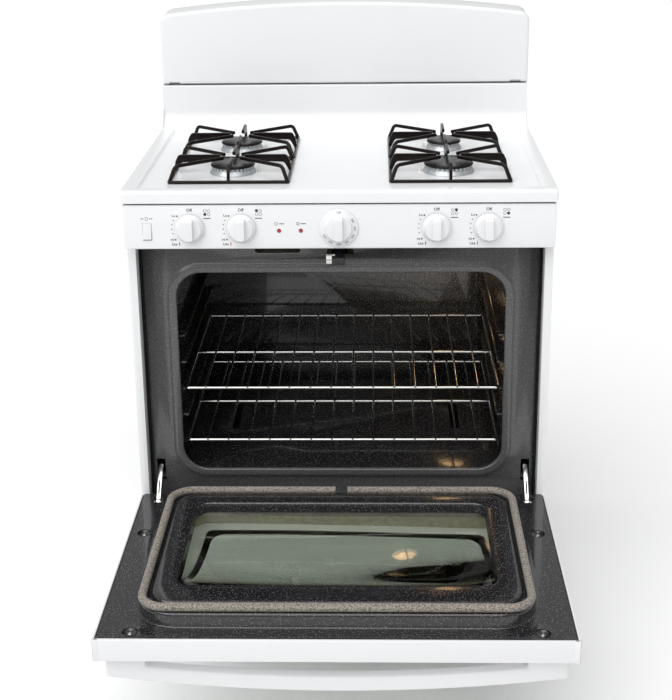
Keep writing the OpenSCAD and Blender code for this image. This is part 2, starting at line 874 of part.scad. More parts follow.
module finger(s, reach, z0, top, blade) {
    half = grate_rod / 2 - 0.5;
    mirror([s < 0 ? 1 : 0, 0, 0])
        translate([0, half, 0])
            rotate([90, 0, 0])
                linear_extrude(2 * half)
                    polygon([[reach - 3, z0], [reach + 3, z0], [reach - 1, top - 5], [reach - 6, top],
                        [finger_gap, top], [finger_gap, top - 6], [reach - 40, top - blade],
                        [reach - 9, top - blade + 2]]);
}

// ---- hinges and drawer rails ---------------------------------------------------

module hinge_arms() {
    r = pin_d / 2;
    slot = frame_y - hinge_y;
    color("silver") on_hinge()
        for (x = [-arm_x, arm_x]) {
            along_x([x - pocket_w / 2 + 1, 0, 0], r, pocket_w - 2);
            translate([x - arm_t / 2, 0, 0])
                rotate([90, 0, 90])
                    linear_extrude(arm_t) {
                        circle(r + 3);
                        polygon([[-4, 4], [5, -4], [slot, arm_up - 22], [slot + 40, arm_up - 22],
                            [slot + 40, arm_up], [slot, arm_up], [slot - 22, arm_up - 14]]);
                    }
        }
}

module drawer_rails() {
    half = body_w / 2 - sheet;
    color("silver") cabinet()
        for (side = [0, 1])
            mirror([side, 0, 0]) {
                block([tray_half() + apart, 40, rail_z() - 3], [half, tray_d + 20, rail_z()]);
                block([tray_half() + apart, 40, rail_z() - 16],
                    [tray_half() + apart + 2, tray_d + 20, rail_z() - 3]);
            }
}

function tray_half() = body_w / 2 - 42;
function rail_z() = drawer_z + tray_h - 20;

// ---- door, drawn lowered, about its hinge axis -----------------------------------

module hinge_cut(w0, w1) {
    for (x = [-arm_x, arm_x])
        block([x - pocket_w / 2 - 2, -26, w0], [x + pocket_w / 2 + 2, door_tail + eps, w1]);
}

module door_outer_panel() {
    half = door_w / 2 - 1;
    color("white") on_hinge()
        difference() {
            union() {
                block([-half, -door_l + 6, outer_w0], [half, door_tail, outer_w0 + sheet]);
                for (x = [-half, half - sheet])
                    block([x, -door_l + 6, outer_w0], [x + sheet, door_tail, rim_w0 - 3]);
                block([-half, door_tail - sheet, outer_w0], [half, door_tail, rim_w0 - sheet]);
            }
            in_door(outer_pane_half - 12, window_u0 + 32, window_u1 - 2, window_r,
                outer_w0 - eps, outer_w0 + 3 * eps);
            for (x = [-arm_x, arm_x])
                block([x - arm_t, 0, -10], [x + arm_t, door_tail + eps, rim_w0]);
        }
}

module door_trim() {
    half = door_w / 2;
    color("white") on_hinge() {
        block([-half, -door_l, outer_w0], [half, -door_l + 6, rim_w0 + 0.5]);
        for (side = [0, 1])
            mirror([side, 0, 0])
                block([half - 0.9, -door_l + 6, outer_w0], [half, -door_l + 26, rim_w0 + 0.5]);
    }
}

module door_liner() {
    half = door_w / 2 - 4;
    edge = -door_l + 6.5;
    color("dimgray") on_hinge()
        difference() {
            union() {
                block([-half, edge, rim_w0 - sheet], [half, door_tail, rim_w0]);
                difference() {
                    in_door(shelf_half, gasket_low - gasket_d, gasket_high + gasket_d,
                        gasket_r + gasket_d, rim_w0 - sheet, shelf_w0);
                    in_door(shelf_half - sheet, gasket_low - gasket_d + sheet,
                        gasket_high + gasket_d - sheet, gasket_r + gasket_d - sheet,
                        rim_w0 - sheet - eps, shelf_w0 - sheet);
                }
                difference() {
                    in_door(plateau_half, plateau_low, plateau_high, gasket_r - 10,
                        shelf_w0 - sheet, plateau_w0);
                    in_door(plateau_half - sheet, plateau_low + sheet, plateau_high - sheet,
                        gasket_r - 10 - sheet, shelf_w0 - sheet - eps, plateau_w0 - sheet);
                }
                in_door(window_half + sheet, window_u0 - sheet, window_u1 + sheet,
                    window_r + sheet, pane_w() + glass_t, plateau_w0);
            }
            in_door(window_half, window_u0, window_u1, window_r, 0, plateau_w0 + eps);
            // hollow under the pressed steps
            in_door(shelf_half - sheet, gasket_low - gasket_d + sheet,
                gasket_high + gasket_d - sheet, gasket_r + gasket_d - sheet,
                rim_w0 - sheet - eps, pane_w() + glass_t);
            difference() {
                in_door(plateau_half - sheet, plateau_low + sheet, plateau_high - sheet,
                    gasket_r - 10 - sheet, pane_w() + glass_t - eps, plateau_w0 - sheet);
                in_door(window_half + sheet, window_u0 - sheet, window_u1 + sheet,
                    window_r + sheet, 0, plateau_w0);
            }
            for (x = [-arm_x, arm_x])
                block([x - arm_t, -24, rim_w0 - 3], [x + arm_t, door_tail + eps, rim_w0 + eps]);
            // slot that the latch drops into
            block([-34, -door_l + 18, rim_w0 - 3], [-1, -door_l + 24, rim_w0 + eps]);
        }
}

function pane_w() = plateau_w0 - 18 - glass_t;

module door_inner_glass() {
    color("darkseagreen") on_hinge()
        in_door(window_half + 12, window_u0 - 12, window_u1 + 12, window_r, pane_w(), pane_w() + glass_t);
}

module door_outer_glass() {
    color("darkslategray") on_hinge()
        in_door(outer_pane_half, window_u0 + 20, window_u1 + 10, window_r / 2,
            outer_w0 + sheet, outer_w0 + sheet + glass_t);
}

module door_insulation() {
    half = door_w / 2 - 6;
    color("khaki") on_hinge()
        difference() {
            in_door(half, -door_tail + 3, door_l - 8, 4, outer_w0 + sheet, rim_w0 - sheet);
            in_door(window_half + 4, window_u0 - 4, window_u1 + 14, window_r,
                outer_w0 - eps, rim_w0 + eps);
            hinge_cut(outer_w0 + sheet - eps, rim_w0);
        }
}

module door_gasket() {
    r = gasket_d / 2;
    gap = 11;
    run = gasket_half - gasket_r;
    z = shelf_w0 + r;
    color("rosybrown") on_hinge() {
        along_x([-run, -gasket_high, z], r, 2 * run);
        for (x = [-run, gap])
            along_x([x, -gasket_low, z], r, run - gap);
        for (x = [-gasket_half, gasket_half])
            along_y([x, -gasket_high + gasket_r, z], r, gasket_high - gasket_low - 2 * gasket_r);
        for (sx = [0, 1], sy = [0, 1])
            mirror([sx, 0, 0])
                translate([run, sy == 0 ? -gasket_high + gasket_r : -gasket_low - gasket_r, z])
                    mirror([0, sy == 0 ? 1 : 0, 0])
                        rotate_extrude(angle = 90)
                            translate([gasket_r, 0])
                                circle(r);
    }
}

// Rise of the handle's outer side above the door's face at a distance x from its middle
function handle_out(x) = handle_end_out + handle_bow * (1 - pow(2 * x / handle_l, 2));

module door_handle() {
    half = handle_l / 2;
    inner = half - handle_end;
    steps = 12;
    low = outer_w0;
    outer = [for (i = [-steps:steps]) let(x = half * i / steps) [x, low - handle_out(x)]];
    bow = [for (i = [steps:-1:-steps])
        let(x = inner * i / steps) [x, low - handle_out(x) + handle_t]];
    color("white") on_hinge()
        translate([0, -door_l + handle_set + handle_h, 0])
            rotate([90, 0, 0])
                linear_extrude(handle_h)
                    polygon(concat(outer, [[half, low], [inner, low]], bow,
                        [[-inner, low], [-half, low]]));
}

module door_hinge_brackets() {
    r = pin_d / 2 + run_fit;
    ear = min(8, hinge_in - 3, door_tail - sheet - 2);
    rear = min(10, door_tail - sheet - 2);
    color("silver") on_hinge()
        for (x = [-arm_x, arm_x], side = [-1, 1])
            difference() {
                translate([x + side * (pocket_w / 2 - 2) - 1.5, 0, 0])
                    rotate([90, 0, 90])
                        linear_extrude(3) {
                            translate([-22, outer_w0 + sheet])
                                square([22 + rear, rim_w0 - 3 - outer_w0 - sheet]);
                            circle(ear);
                        }
                along_x([x + side * (pocket_w / 2 - 2) - 3, 0, 0], r, 6);
            }
}

module door_screws() {
    color("silver") on_hinge()
        for (side = [-1, 1], at = door_screw_at)
            translate([side * at[0], -at[1], rim_w0])
                difference() {
                    cylinder(h = 2.4, r = 4.5);
                    for (turn = [0, 90])
                        rotate([0, 0, turn])
                            translate([-2.5, -0.5, 1.2])
                                cube([5, 1, 2]);
                }
}

module door_latch() {
    z = latch_z;
    pivot_y = latch_y;
    color("silver") cabinet()
        difference() {
            union() {
                block([-9, -5, z], [9, pivot_y, z + 3]);
                block([-24, -5, z], [-8, 3, z + 3]);
                block([-24, -5, z - 6], [-14, -2, z + 12]);
                translate([0, pivot_y, z])
                    cylinder(h = 3, r = 12);
            }
            translate([0, pivot_y, z - eps])
                cylinder(h = 6, r = latch_pin_r + run_fit);
        }
}

// ---- drawer ----------------------------------------------------------------------

module drawer_front() {
    half = body_w / 2 - 3;
    color("white") cabinet()
        difference() {
            block([-half, -panel_out, drawer_z], [half, -2, drawer_top]);
            block([-half + sheet, -panel_out + sheet, drawer_z + sheet],
                [half - sheet, -1, drawer_top - sheet]);
        }
}

module drawer_tray() {
    half = tray_half();
    z0 = drawer_z + 4;
    color("gray") cabinet()
        difference() {
            union() {
                block([-half, -panel_out + sheet, z0], [half, tray_d, z0 + tray_h]);
                for (x = [-half - 14, half])
                    block([x, 60, rail_z() + apart], [x + 14, tray_d, rail_z() + apart + sheet]);
            }
            block([-half + sheet, -panel_out + 3 * sheet, z0 + sheet],
                [half - sheet, tray_d - sheet, z0 + tray_h + eps]);
        }
}

// ---- racks -------------------------------------------------------------------------

module oven_rack(level) {
    r = rack_bar_d / 2;
    wr = rack_wire_d / 2;
    z = guide_z(level) + r + apart;
    y0 = frame_y + rack_front;
    y1 = y0 + rack_d;
    half = rack_half;
    wires = floor((half - 20) / rack_pitch);
    color("silver") cabinet() {
        for (y = [y0, y0 + rack_d * 0.46, y1])
            rod([-half, y, z], [half, y, z], r);
        for (x = [-half, half])
            rod([x, y0 - r, z], [x, y1 + r, z], r);
        for (i = [-wires:wires - 1])
            rod([(i + 0.5) * rack_pitch, y0 - r, z + r], [(i + 0.5) * rack_pitch, y1 + r, z + r], wr);
    }
}

// ---- knobs and switch ----------------------------------------------------------------

// Knob on an axis along -Y, its back face on the panel side
module knob(x, skirt_r, grip_r, back, bored = true) {
    depth = knob_depth;
    color("whitesmoke") cabinet()
        translate([x, back, knob_z])
            rotate([90, 0, 0])
                difference() {
                    union() {
                        rotate_extrude()
                            polygon([[0, 0], [skirt_r, 0], [skirt_r, 2.5], [skirt_r - 1.5, 4],
                                [grip_r, 6], [grip_r - 2, 10], [0, 10.5]]);
                        intersection() {
                            translate([-grip_w / 2, -grip_r, 0])
                                cube([grip_w, 2 * grip_r, depth]);
                            rotate_extrude()
                                polygon([[0, 0], [grip_r, 0], [grip_r - 3, depth - 2],
                                    [grip_r - 5, depth], [0, depth]]);
                        }
                    }
                    if (bored)
                        translate([0, 0, -eps])
                            cylinder(h = stem_in() + knob_push + 1 + eps, r = stem_d / 2 + run_fit);
                }
}

function stem_in() = 11;
function knob_back() = -panel_out - knob_push - 0.4;

module burner_knob(i) {
    knob(knob_xs[i - 1], knob_d / 2, knob_d / 2 - 3, knob_back());
}

module valve_stem(i) {
    color("silver") cabinet()
        along_y([knob_xs[i - 1], knob_back() - stem_in(), knob_z], stem_d / 2,
            valve_y + 9 - knob_back() + stem_in());
}

module oven_knob() {
    knob(0, oven_knob_d / 2, oven_knob_d / 2 - 10, -panel_out - 0.6, false);
    color("silver") cabinet()
        along_y([0, -panel_out - 14, knob_z], stem_d / 2, valve_y + 10 + panel_out + 14);
}

module light_switch_rocker() {
    tilt = 6;
    color("white") cabinet()
        translate([-switch_x, -panel_out + 7, switch_z])
            rotate([-tilt, 0, 0]) {
                translate([0, -6.5, 0])
                    cube([switch_w, 5, switch_h], center = true);
                translate([0, -1, 0])
                    cube([switch_w - 4, 8, 8], center = true);
                along_x([-switch_w / 2 - 2, 0, 0], 1.5, switch_w + 4);
            }
}

// ---- output ------------------------------------------------------------------------------

side_panel(-1);  // side_panel_left
side_panel(1);  // side_panel_right
rear_panel();
base_frame();
levelling_legs();
front_frame();
oven_wall(-1);  // oven_wall_left
oven_wall(1);  // oven_wall_right
oven_ceiling();
oven_rear_wall();
oven_floor();
oven_insulation();
cooktop();
backguard();
flue_duct();
control_panel();
gas_manifold();
burner_valves();
burner_supply_tubes();
pressure_regulator();
burner_heads();
burner_caps();
igniters();
grate(0);  // grate_front_left
grate(1);  // grate_rear_left
grate(2);  // grate_front_right
grate(3);  // grate_rear_right
bake_burner();
broil_burner();
oven_lamp();
temperature_sensor();
oven_thermostat();
indicator_lights();
hinge_arms();
drawer_rails();
door_outer_panel();
door_trim();
door_liner();
door_insulation();
door_inner_glass();
door_outer_glass();
door_gasket();
door_handle();
door_hinge_brackets();
door_screws();
drawer_front();
drawer_tray();
oven_rack(2);  // oven_rack_upper
oven_rack(0);  // oven_rack_lower
burner_knob(1);  // burner_knob_1
burner_knob(2);  // burner_knob_2
burner_knob(3);  // burner_knob_3
burner_knob(4);  // burner_knob_4
valve_stem(1);  // valve_stem_1
valve_stem(2);  // valve_stem_2
valve_stem(3);  // valve_stem_3
valve_stem(4);  // valve_stem_4
oven_knob();
light_switch_rocker();
door_latch();
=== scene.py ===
"""Looks of a freestanding gas range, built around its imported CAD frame."""

import json
import logging
import math
from collections.abc import Callable, Sequence
from dataclasses import dataclass, field
from enum import Enum
from itertools import pairwise

import bmesh
import bpy
from bmesh.types import BMEdge, BMesh, BMFace, BMVert
from mathutils import Matrix, Vector


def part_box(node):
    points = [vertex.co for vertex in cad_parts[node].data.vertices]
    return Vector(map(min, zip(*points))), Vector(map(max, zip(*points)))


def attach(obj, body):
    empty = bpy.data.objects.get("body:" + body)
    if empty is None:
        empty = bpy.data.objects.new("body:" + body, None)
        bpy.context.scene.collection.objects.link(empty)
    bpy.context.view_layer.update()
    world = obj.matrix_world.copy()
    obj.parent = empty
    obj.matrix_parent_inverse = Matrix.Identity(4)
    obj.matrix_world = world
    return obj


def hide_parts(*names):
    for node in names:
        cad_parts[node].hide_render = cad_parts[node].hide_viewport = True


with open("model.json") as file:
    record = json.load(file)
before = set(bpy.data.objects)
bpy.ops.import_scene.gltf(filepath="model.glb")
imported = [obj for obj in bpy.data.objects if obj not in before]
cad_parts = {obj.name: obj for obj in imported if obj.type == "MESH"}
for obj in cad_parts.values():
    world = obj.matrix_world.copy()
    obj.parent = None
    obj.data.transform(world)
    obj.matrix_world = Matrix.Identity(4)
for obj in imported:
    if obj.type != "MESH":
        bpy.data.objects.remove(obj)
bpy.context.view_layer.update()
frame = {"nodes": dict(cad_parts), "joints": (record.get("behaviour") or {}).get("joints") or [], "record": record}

MM = 0.001
MERGE = 1e-5
INK = 0.04  # half the thickness of a printed mark, in millimetres
BODIES: dict[str, list[str]] = frame["record"]["behaviour"]["bodies"]
BODY_OF: dict[str, str] = {node: body for body, nodes in BODIES.items() for node in nodes}
SLOT_OF: dict[str, str] = {row["node"]: row["material_slot"] for row in frame["record"]["subparts"]}
MADE: dict[str, bpy.types.Material] = {}
log = logging.getLogger("gas_range")


# ---- finishes ----------------------------------------------------------------


class Grain(Enum):
    """What breaks up a finish: cells or clouds, their scale, and the bump's strength and depth."""

    NONE = (False, 0.0, 0.0, 0.0)
    SPECKS = (True, 330.0, 0.0, 0.0)
    CAST = (False, 700.0, 0.15, 0.0003)
    BRAID = (True, 360.0, 0.9, 0.0012)
    WOOL = (False, 90.0, 1.0, 0.003)

    def __init__(self, cells: bool, scale: float, strength: float, depth: float) -> None:
        """Takes the grain's values."""
        self.cells, self.scale, self.strength, self.depth = cells, scale, strength, depth


@dataclass(frozen=True)
class Finish:
    """A finish that covers a piece evenly, with an optional grain."""

    name: str
    color: tuple[float, float, float]
    roughness: float = 0.3
    metallic: float = 0.0
    coat: float = 0.0
    grain: Grain = Grain.NONE
    second: tuple[float, float, float] = (0.5, 0.5, 0.5)
    glow: float = 0.0
    clear: float = 0.0
    ior: float = 1.5

    def material(self) -> bpy.types.Material:
        """Gives the material of this finish, made at its first use.

        Returns:
            The material.
        """
        if self.name in MADE:
            return MADE[self.name]
        made = MADE[self.name] = bpy.data.materials.new(f"{self.name}_finish")
        made.use_nodes = True
        nodes = made.node_tree.nodes
        shader = nodes["Principled BSDF"]
        values = {
            "Base Color": (*self.color, 1.0),
            "Roughness": self.roughness,
            "Metallic": self.metallic,
            "Coat Weight": self.coat,
            "Coat Roughness": 0.05,
            "Transmission Weight": self.clear,
            "IOR": self.ior,
            "Emission Color": (*self.color, 1.0),
            "Emission Strength": self.glow,
        }
        for socket, value in values.items():
            shader.inputs[socket].default_value = value
        if self.grain is not Grain.NONE:
            self._add_grain(made.node_tree, shader)
        return made

    def _add_grain(self, tree: bpy.types.NodeTree, shader: bpy.types.Node) -> None:
        """Adds the pattern of the grain.

        Args:
            tree: The material's node tree.
            shader: Its surface shader.
        """
        place = tree.nodes.new("ShaderNodeTexCoord")
        if self.grain.cells:
            pattern = tree.nodes.new("ShaderNodeTexVoronoi")
            out = pattern.outputs["Distance"]
        else:
            pattern = tree.nodes.new("ShaderNodeTexNoise")
            pattern.inputs["Detail"].default_value = 3.0
            out = pattern.outputs["Fac"]
        pattern.inputs["Scale"].default_value = self.grain.scale
        tree.links.new(place.outputs["Object"], pattern.inputs["Vector"])
        ramp = tree.nodes.new("ShaderNodeValToRGB")
        low, high = ramp.color_ramp.elements
        if self.grain is Grain.SPECKS:
            low.position, high.position = 0.10, 0.24
            low.color, high.color = (*self.second, 1.0), (*self.color, 1.0)
        else:
            low.position, high.position = 0.15, 0.75
            low.color, high.color = (*self.color, 1.0), (*self.second, 1.0)
        tree.links.new(out, ramp.inputs["Fac"])
        tree.links.new(ramp.outputs["Color"], shader.inputs["Base Color"])
        if self.grain.strength:
            bump = tree.nodes.new("ShaderNodeBump")
            bump.inputs["Strength"].default_value = self.grain.strength
            bump.inputs["Distance"].default_value = self.grain.depth
            bump.invert = self.grain is Grain.BRAID
            tree.links.new(out, bump.inputs["Height"])
            tree.links.new(bump.outputs["Normal"], shader.inputs["Normal"])


WHITE = (0.83, 0.84, 0.85)
ALL_FINISHES = (
    Finish("white_enamel", WHITE, 0.26, coat=0.15),
    Finish("white_trim", (0.76, 0.765, 0.775), 0.28, coat=0.3),
    Finish("white_plastic", (0.80, 0.81, 0.82), 0.3, coat=0.2),
    Finish("grey_steel", (0.42, 0.43, 0.44), 0.42, metallic=0.9),
    Finish("dark_steel", (0.05, 0.05, 0.055), 0.5),
    Finish(
        "oven_enamel", (0.014, 0.014, 0.0155), 0.18, coat=0.5, grain=Grain.SPECKS, second=(0.30, 0.30, 0.31)
    ),
    # a lighter copy of the oven enamel with painted light: its paler base stands in for the brighter reflection on
    # the front frame
    Finish(
        "frame_enamel_painted_light", (0.080, 0.080, 0.081), 0.22, coat=0.3, grain=Grain.SPECKS, second=(0.30, 0.30, 0.30)
    ),
    Finish("insulation_wool", (0.36, 0.32, 0.22), 0.95, grain=Grain.WOOL, second=(0.60, 0.55, 0.40)),
    Finish("plated_steel", (0.42, 0.42, 0.41), 0.3, metallic=1.0),
    Finish("chrome_wire", (0.72, 0.72, 0.70), 0.14, metallic=1.0),
    Finish("valve_brass", (0.62, 0.44, 0.16), 0.3, metallic=1.0),
    Finish(
        "burner_aluminium", (0.52, 0.55, 0.57), 0.42, metallic=0.75, grain=Grain.CAST,
        second=(0.66, 0.69, 0.71),
    ),
    Finish("black_enamel", (0.006, 0.003, 0.0025), 0.28, ior=1.3),
    Finish("ceramic", (0.84, 0.82, 0.78), 0.4),
    Finish("indicator_red", (0.36, 0.012, 0.016), 0.15, coat=0.5),
    Finish("window_glass", (0.78, 0.82, 0.74), 0.03, clear=1.0),
    Finish("outer_glass", (0.66, 0.70, 0.63), 0.03, clear=1.0),
    Finish("lamp_glass", (1.0, 0.82, 0.55), 0.2, glow=0.35),
    Finish("gasket_braid", (0.40, 0.365, 0.325), 0.9, grain=Grain.BRAID, second=(0.14, 0.125, 0.11)),
    Finish("foot_plastic", (0.03, 0.03, 0.03), 0.6),
    Finish("ink_black", (0.02, 0.02, 0.022), 0.5),
    Finish("ink_grey", (0.25, 0.25, 0.26), 0.5),
    Finish("ink_red", (0.45, 0.03, 0.04), 0.5),
)
FINISHES: dict[str, Finish] = {finish.name: finish for finish in ALL_FINISHES}


# ---- places ------------------------------------------------------------------


def hinge_axis() -> Vector:
    """Gives a point on the door's hinge axis, in the row frame.

    Returns:
        The point.
    """
    return Vector(next(j["pos_m"] for j in frame["joints"] if j["name"] == "door_hinge"))


FRONT_Y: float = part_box("side_panel_left")[0].y
CABINET: Matrix = Matrix.Translation((0, FRONT_Y, 0)) @ Matrix.Scale(MM, 4)
DOOR: Matrix = (
    Matrix.Translation((0, hinge_axis().y, hinge_axis().z)) @ Matrix.Diagonal((MM, -MM, MM, 1.0))
)


def facing(x: float, y: float, z: float) -> Matrix:
    """Gives the place of a piece that is drawn lying down and faces the front.

    Args:
        x: Its middle from the range's middle, in millimetres.
        y: Its back's distance behind the side panels' front edge.
        z: Its middle's height.

    Returns:
        The matrix to the row frame.
    """
    return CABINET @ Matrix.Translation((x, y, z)) @ Matrix.Rotation(math.radians(90), 4, "X")


# ---- shaping -----------------------------------------------------------------


def bevel(
    bm: BMesh, geom: Sequence[BMVert | BMEdge], width: float, segments: int, affect: str = "EDGES",
    clamp: bool = False, slide: bool = False,
) -> None:
    """Rounds edges or corners.

    Args:
        bm: Their mesh.
        geom: The edges, or the corners' vertices.
        width: The rounding's size.
        segments: Pieces in it.
        affect: "EDGES" or "VERTICES".
        clamp: Whether the rounding stops short of its neighbours.
        slide: Whether it runs along the edges that it meets.
    """
    bmesh.ops.bevel(
        bm, geom=list(geom), offset=width, offset_type="OFFSET", affect=affect, segments=segments,
        profile=0.5, material=-1, clamp_overlap=clamp, loop_slide=slide,
    )


def walk(first: BMVert, edges: Sequence[BMEdge] | None = None) -> list[BMVert]:
    """Follows a chain of edges from its first vertex to its end, or once round.

    Args:
        first: The first vertex.
        edges: The edges that may be followed, or None for all.

    Returns:
        The chain's vertices, in order.
    """
    chain, before, here = [first], None, first
    while True:
        following = [
            e for e in here.link_edges if e is not before and (edges is None or e in edges)
        ]
        if not following:
            return chain
        before = following[0]
        here = before.other_vert(here)
        if here is first:
            return chain
        chain.append(here)


def add_object(name: str, data: bpy.types.ID) -> bpy.types.Object:
    """Adds an object to the scene.

    Args:
        name: Its name.
        data: Its mesh, curve, light or camera.

    Returns:
        The object.
    """
    made = bpy.data.objects.new(name, data)
    bpy.context.scene.collection.objects.link(made)
    return made


def rounded_path(
    points: Sequence[Sequence[float]], radii: Sequence[float] | float, segments: int = 8, closed: bool = False
) -> list[Vector]:
    """Rounds the corners of a path.

    Args:
        points: The path's corners.
        radii: The radius of each corner, or one radius for all.
        segments: Pieces in each arc.
        closed: Whether the last corner joins the first.

    Returns:
        The rounded path's points, in order.
    """
    count = len(points)
    each = [float(radii)] * count if isinstance(radii, (int, float)) else list(radii)
    wire = bmesh.new()
    verts = [wire.verts.new(p) for p in points]
    ends = [] if closed else [verts[0], verts[-1]]
    for a, b in pairwise(verts + verts[:1] if closed else verts):
        wire.edges.new((a, b))
    start = verts[0].co.copy()
    for vert, radius in zip(list(verts), each):
        if radius > 0 and vert not in ends:
            ways = [(e.other_vert(vert).co - vert.co).normalized() for e in vert.link_edges]
            half = ways[0].angle(ways[1]) / 2
            bevel(wire, [vert], radius * math.cos(half), segments, "VERTICES")
    first = min(wire.verts, key=lambda v: (v.co - start).length)
    path = [v.co.copy() for v in walk(first)]
    wire.free()
    return path


class Form:
    """A mesh in the making, in millimetres of its own frame."""

    def __init__(self) -> None:
        """Starts empty."""
        self.bm: BMesh = bmesh.new()

    def box(self, low: Sequence[float], high: Sequence[float]) -> list[BMVert]:
        """Adds a block.

        Args:
            low: Its lowest corner.
            high: Its highest corner.

        Returns:
            The block's vertices.
        """
        a, b = Vector(low), Vector(high)
        place = Matrix.Translation((a + b) / 2) @ Matrix.Diagonal((*(b - a), 1.0))
        return bmesh.ops.create_cube(self.bm, size=1.0, matrix=place)["verts"]

    def mirrored(self, low: Sequence[float], high: Sequence[float]) -> None:
        """Adds a block and, first, its mirror image in the plane x = 0.

        Args:
            low: The block's lowest corner.
            high: Its highest corner.
        """
        self.box((-high[0], *low[1:]), (-low[0], *high[1:]))
        self.box(low, high)

    def oblong(
        self, low: tuple[float, float], high: tuple[float, float], z: float, radius: float = 0.0
    ) -> BMFace:
        """Adds a flat oblong face with round corners.

        Args:
            low: Its lowest corner.
            high: Its highest corner.
            z: Its height.
            radius: The corners' radius.

        Returns:
            The face.
        """
        others = set(self.bm.faces)
        corners = (low, (high[0], low[1]), high, (low[0], high[1]))
        verts = [self.bm.verts.new((*corner, z)) for corner in corners]
        self.bm.faces.new(verts)
        if radius > 0:
            bevel(self.bm, verts, radius, 8, "VERTICES", clamp=True)
        return next(f for f in self.bm.faces if f not in others)

    def press(self, face: BMFace, steps: Sequence[tuple[float, float]]) -> BMFace:
        """Presses a face into a step with a rounded foot and shoulder.

        Args:
            face: The face.
            steps: Pairs of how far its edge moves in, and how far it rises.

        Returns:
            The face, moved.
        """
        for inset, rise in steps:
            bmesh.ops.inset_region(
                self.bm, faces=[face], thickness=inset, depth=rise, use_boundary=True, use_even_offset=True
            )
        return face

    def open_up(self, face: BMFace) -> list[BMEdge]:
        """Takes a face away.

        Args:
            face: The face.

        Returns:
            The edges round the hole.
        """
        edges = list(face.edges)
        bmesh.ops.delete(self.bm, geom=[face], context="FACES_ONLY")
        return edges

    def fill(self, edges: Sequence[BMEdge]) -> None:
        """Fills the flat area between closed outlines.

        Args:
            edges: The outlines' edges.
        """
        bmesh.ops.triangle_fill(self.bm, use_beauty=True, use_dissolve=False, edges=list(edges))

    def raise_solid(self, faces: Sequence[BMFace], rise: Sequence[float]) -> list[BMVert]:
        """Draws a solid out of faces.

        Args:
            faces: The faces, which stay as the solid's foot.
            rise: How far and where to.

        Returns:
            The vertices of the far end.
        """
        grown = bmesh.ops.extrude_face_region(self.bm, geom=faces, use_keep_orig=True)["geom"]
        verts = [g for g in grown if isinstance(g, BMVert)]
        bmesh.ops.translate(self.bm, vec=Vector(rise), verts=verts)
        return verts

    def sweep_line(self, line: Sequence[Vector], stations: Sequence[float]) -> None:
        """Draws a sheet out of a line, along x.

        Args:
            line: The line's points; their x is left out.
            stations: Where along x the sheet has a row of vertices.
        """
        verts = [self.bm.verts.new((stations[0], p.y, p.z)) for p in line]
        edges = [self.bm.edges.new(pair) for pair in pairwise(verts)]
        for a, b in pairwise(stations):
            edges = self._grow(edges, Matrix.Translation((b - a, 0, 0)))

    def _grow(self, edges: Sequence[BMEdge], move: Matrix) -> list[BMEdge]:
        """Draws a strip of faces out of edges.

        Args:
            edges: The edges.
            move: The matrix that moves them to the strip's far side.

        Returns:
            The far side's edges.
        """
        grown = bmesh.ops.extrude_edge_only(self.bm, edges=edges)["geom"]
        bmesh.ops.transform(self.bm, matrix=move, verts=[g for g in grown if isinstance(g, BMVert)])
        return [g for g in grown if isinstance(g, BMEdge)]

    def lathe(
        self, profile: Sequence[tuple[float, float]], steps: int = 64, at: Sequence[float] = (0, 0, 0)
    ) -> None:
        """Turns a profile about an upright axis.

        Args:
            profile: Pairs of radius and height.
            steps: Pieces round the axis.
            at: Where the axis stands.
        """
        spot = Vector(at)
        verts = [self.bm.verts.new(spot + Vector((r, 0, h))) for r, h in profile]
        edges = [self.bm.edges.new(pair) for pair in pairwise(verts)]
        bmesh.ops.spin(
            self.bm, geom=verts + edges, cent=spot, axis=(0, 0, 1), dvec=(0, 0, 0),
            angle=math.tau, steps=steps, use_merge=True, use_normal_flip=False, use_duplicate=False,
        )

    def tube(
        self, path: Sequence[Sequence[float]], radius: float, sides: int = 12, closed: bool = False
    ) -> None:
        """Draws a round bar along a path.

        Args:
            path: The points of its centreline.
            radius: Its radius.
            sides: Pieces round it.
            closed: Whether its end joins its start.
        """
        points = [Vector(p) for p in path]
        if closed:
            points.append(points[0])
        count = len(points)
        places: list[Matrix] = []
        turn = None
        for i, point in enumerate(points):
            after = points[i + 1] if i + 1 < count else (points[1] if closed else point)
            before = points[i - 1] if i else (points[-2] if closed else point)
            way = (after - before).normalized()
            if turn is None:
                turn = way.to_track_quat("Z", "Y")
            else:
                turn = old_way.rotation_difference(way) @ turn
            old_way = way
            places.append(Matrix.Translation(point) @ turn.to_matrix().to_4x4())
        ring = bmesh.ops.create_circle(
            self.bm, cap_ends=False, radius=radius, segments=sides, matrix=places[0]
        )
        edges = list({e for v in ring["verts"] for e in v.link_edges})
        first = list(edges)
        for a, b in pairwise(places):
            edges = self._grow(edges, b @ a.inverted())
        if closed:
            ends = [v for e in first + edges for v in e.verts]
            bmesh.ops.remove_doubles(self.bm, verts=list(set(ends)), dist=radius * 0.3)
        else:
            bmesh.ops.holes_fill(self.bm, edges=first, sides=0)
            bmesh.ops.holes_fill(self.bm, edges=edges, sides=0)

    def ease(
        self, width: float, segments: int = 2, angle: float = 30.0,
        keep: Callable[[BMEdge], bool] = lambda e: True,
    ) -> None:
        """Rounds the sharp edges.

        Args:
            width: The rounding's size.
            segments: Pieces in it.
            angle: The least angle of an edge that is rounded, in degrees.
            keep: Says which of the sharp edges are rounded.
        """
        edges = [
            e for e in self.bm.edges
            if len(e.link_faces) == 2 and e.calc_face_angle(0.0) > math.radians(angle) and keep(e)
        ]
        bevel(self.bm, edges, width, segments, clamp=True, slide=True)

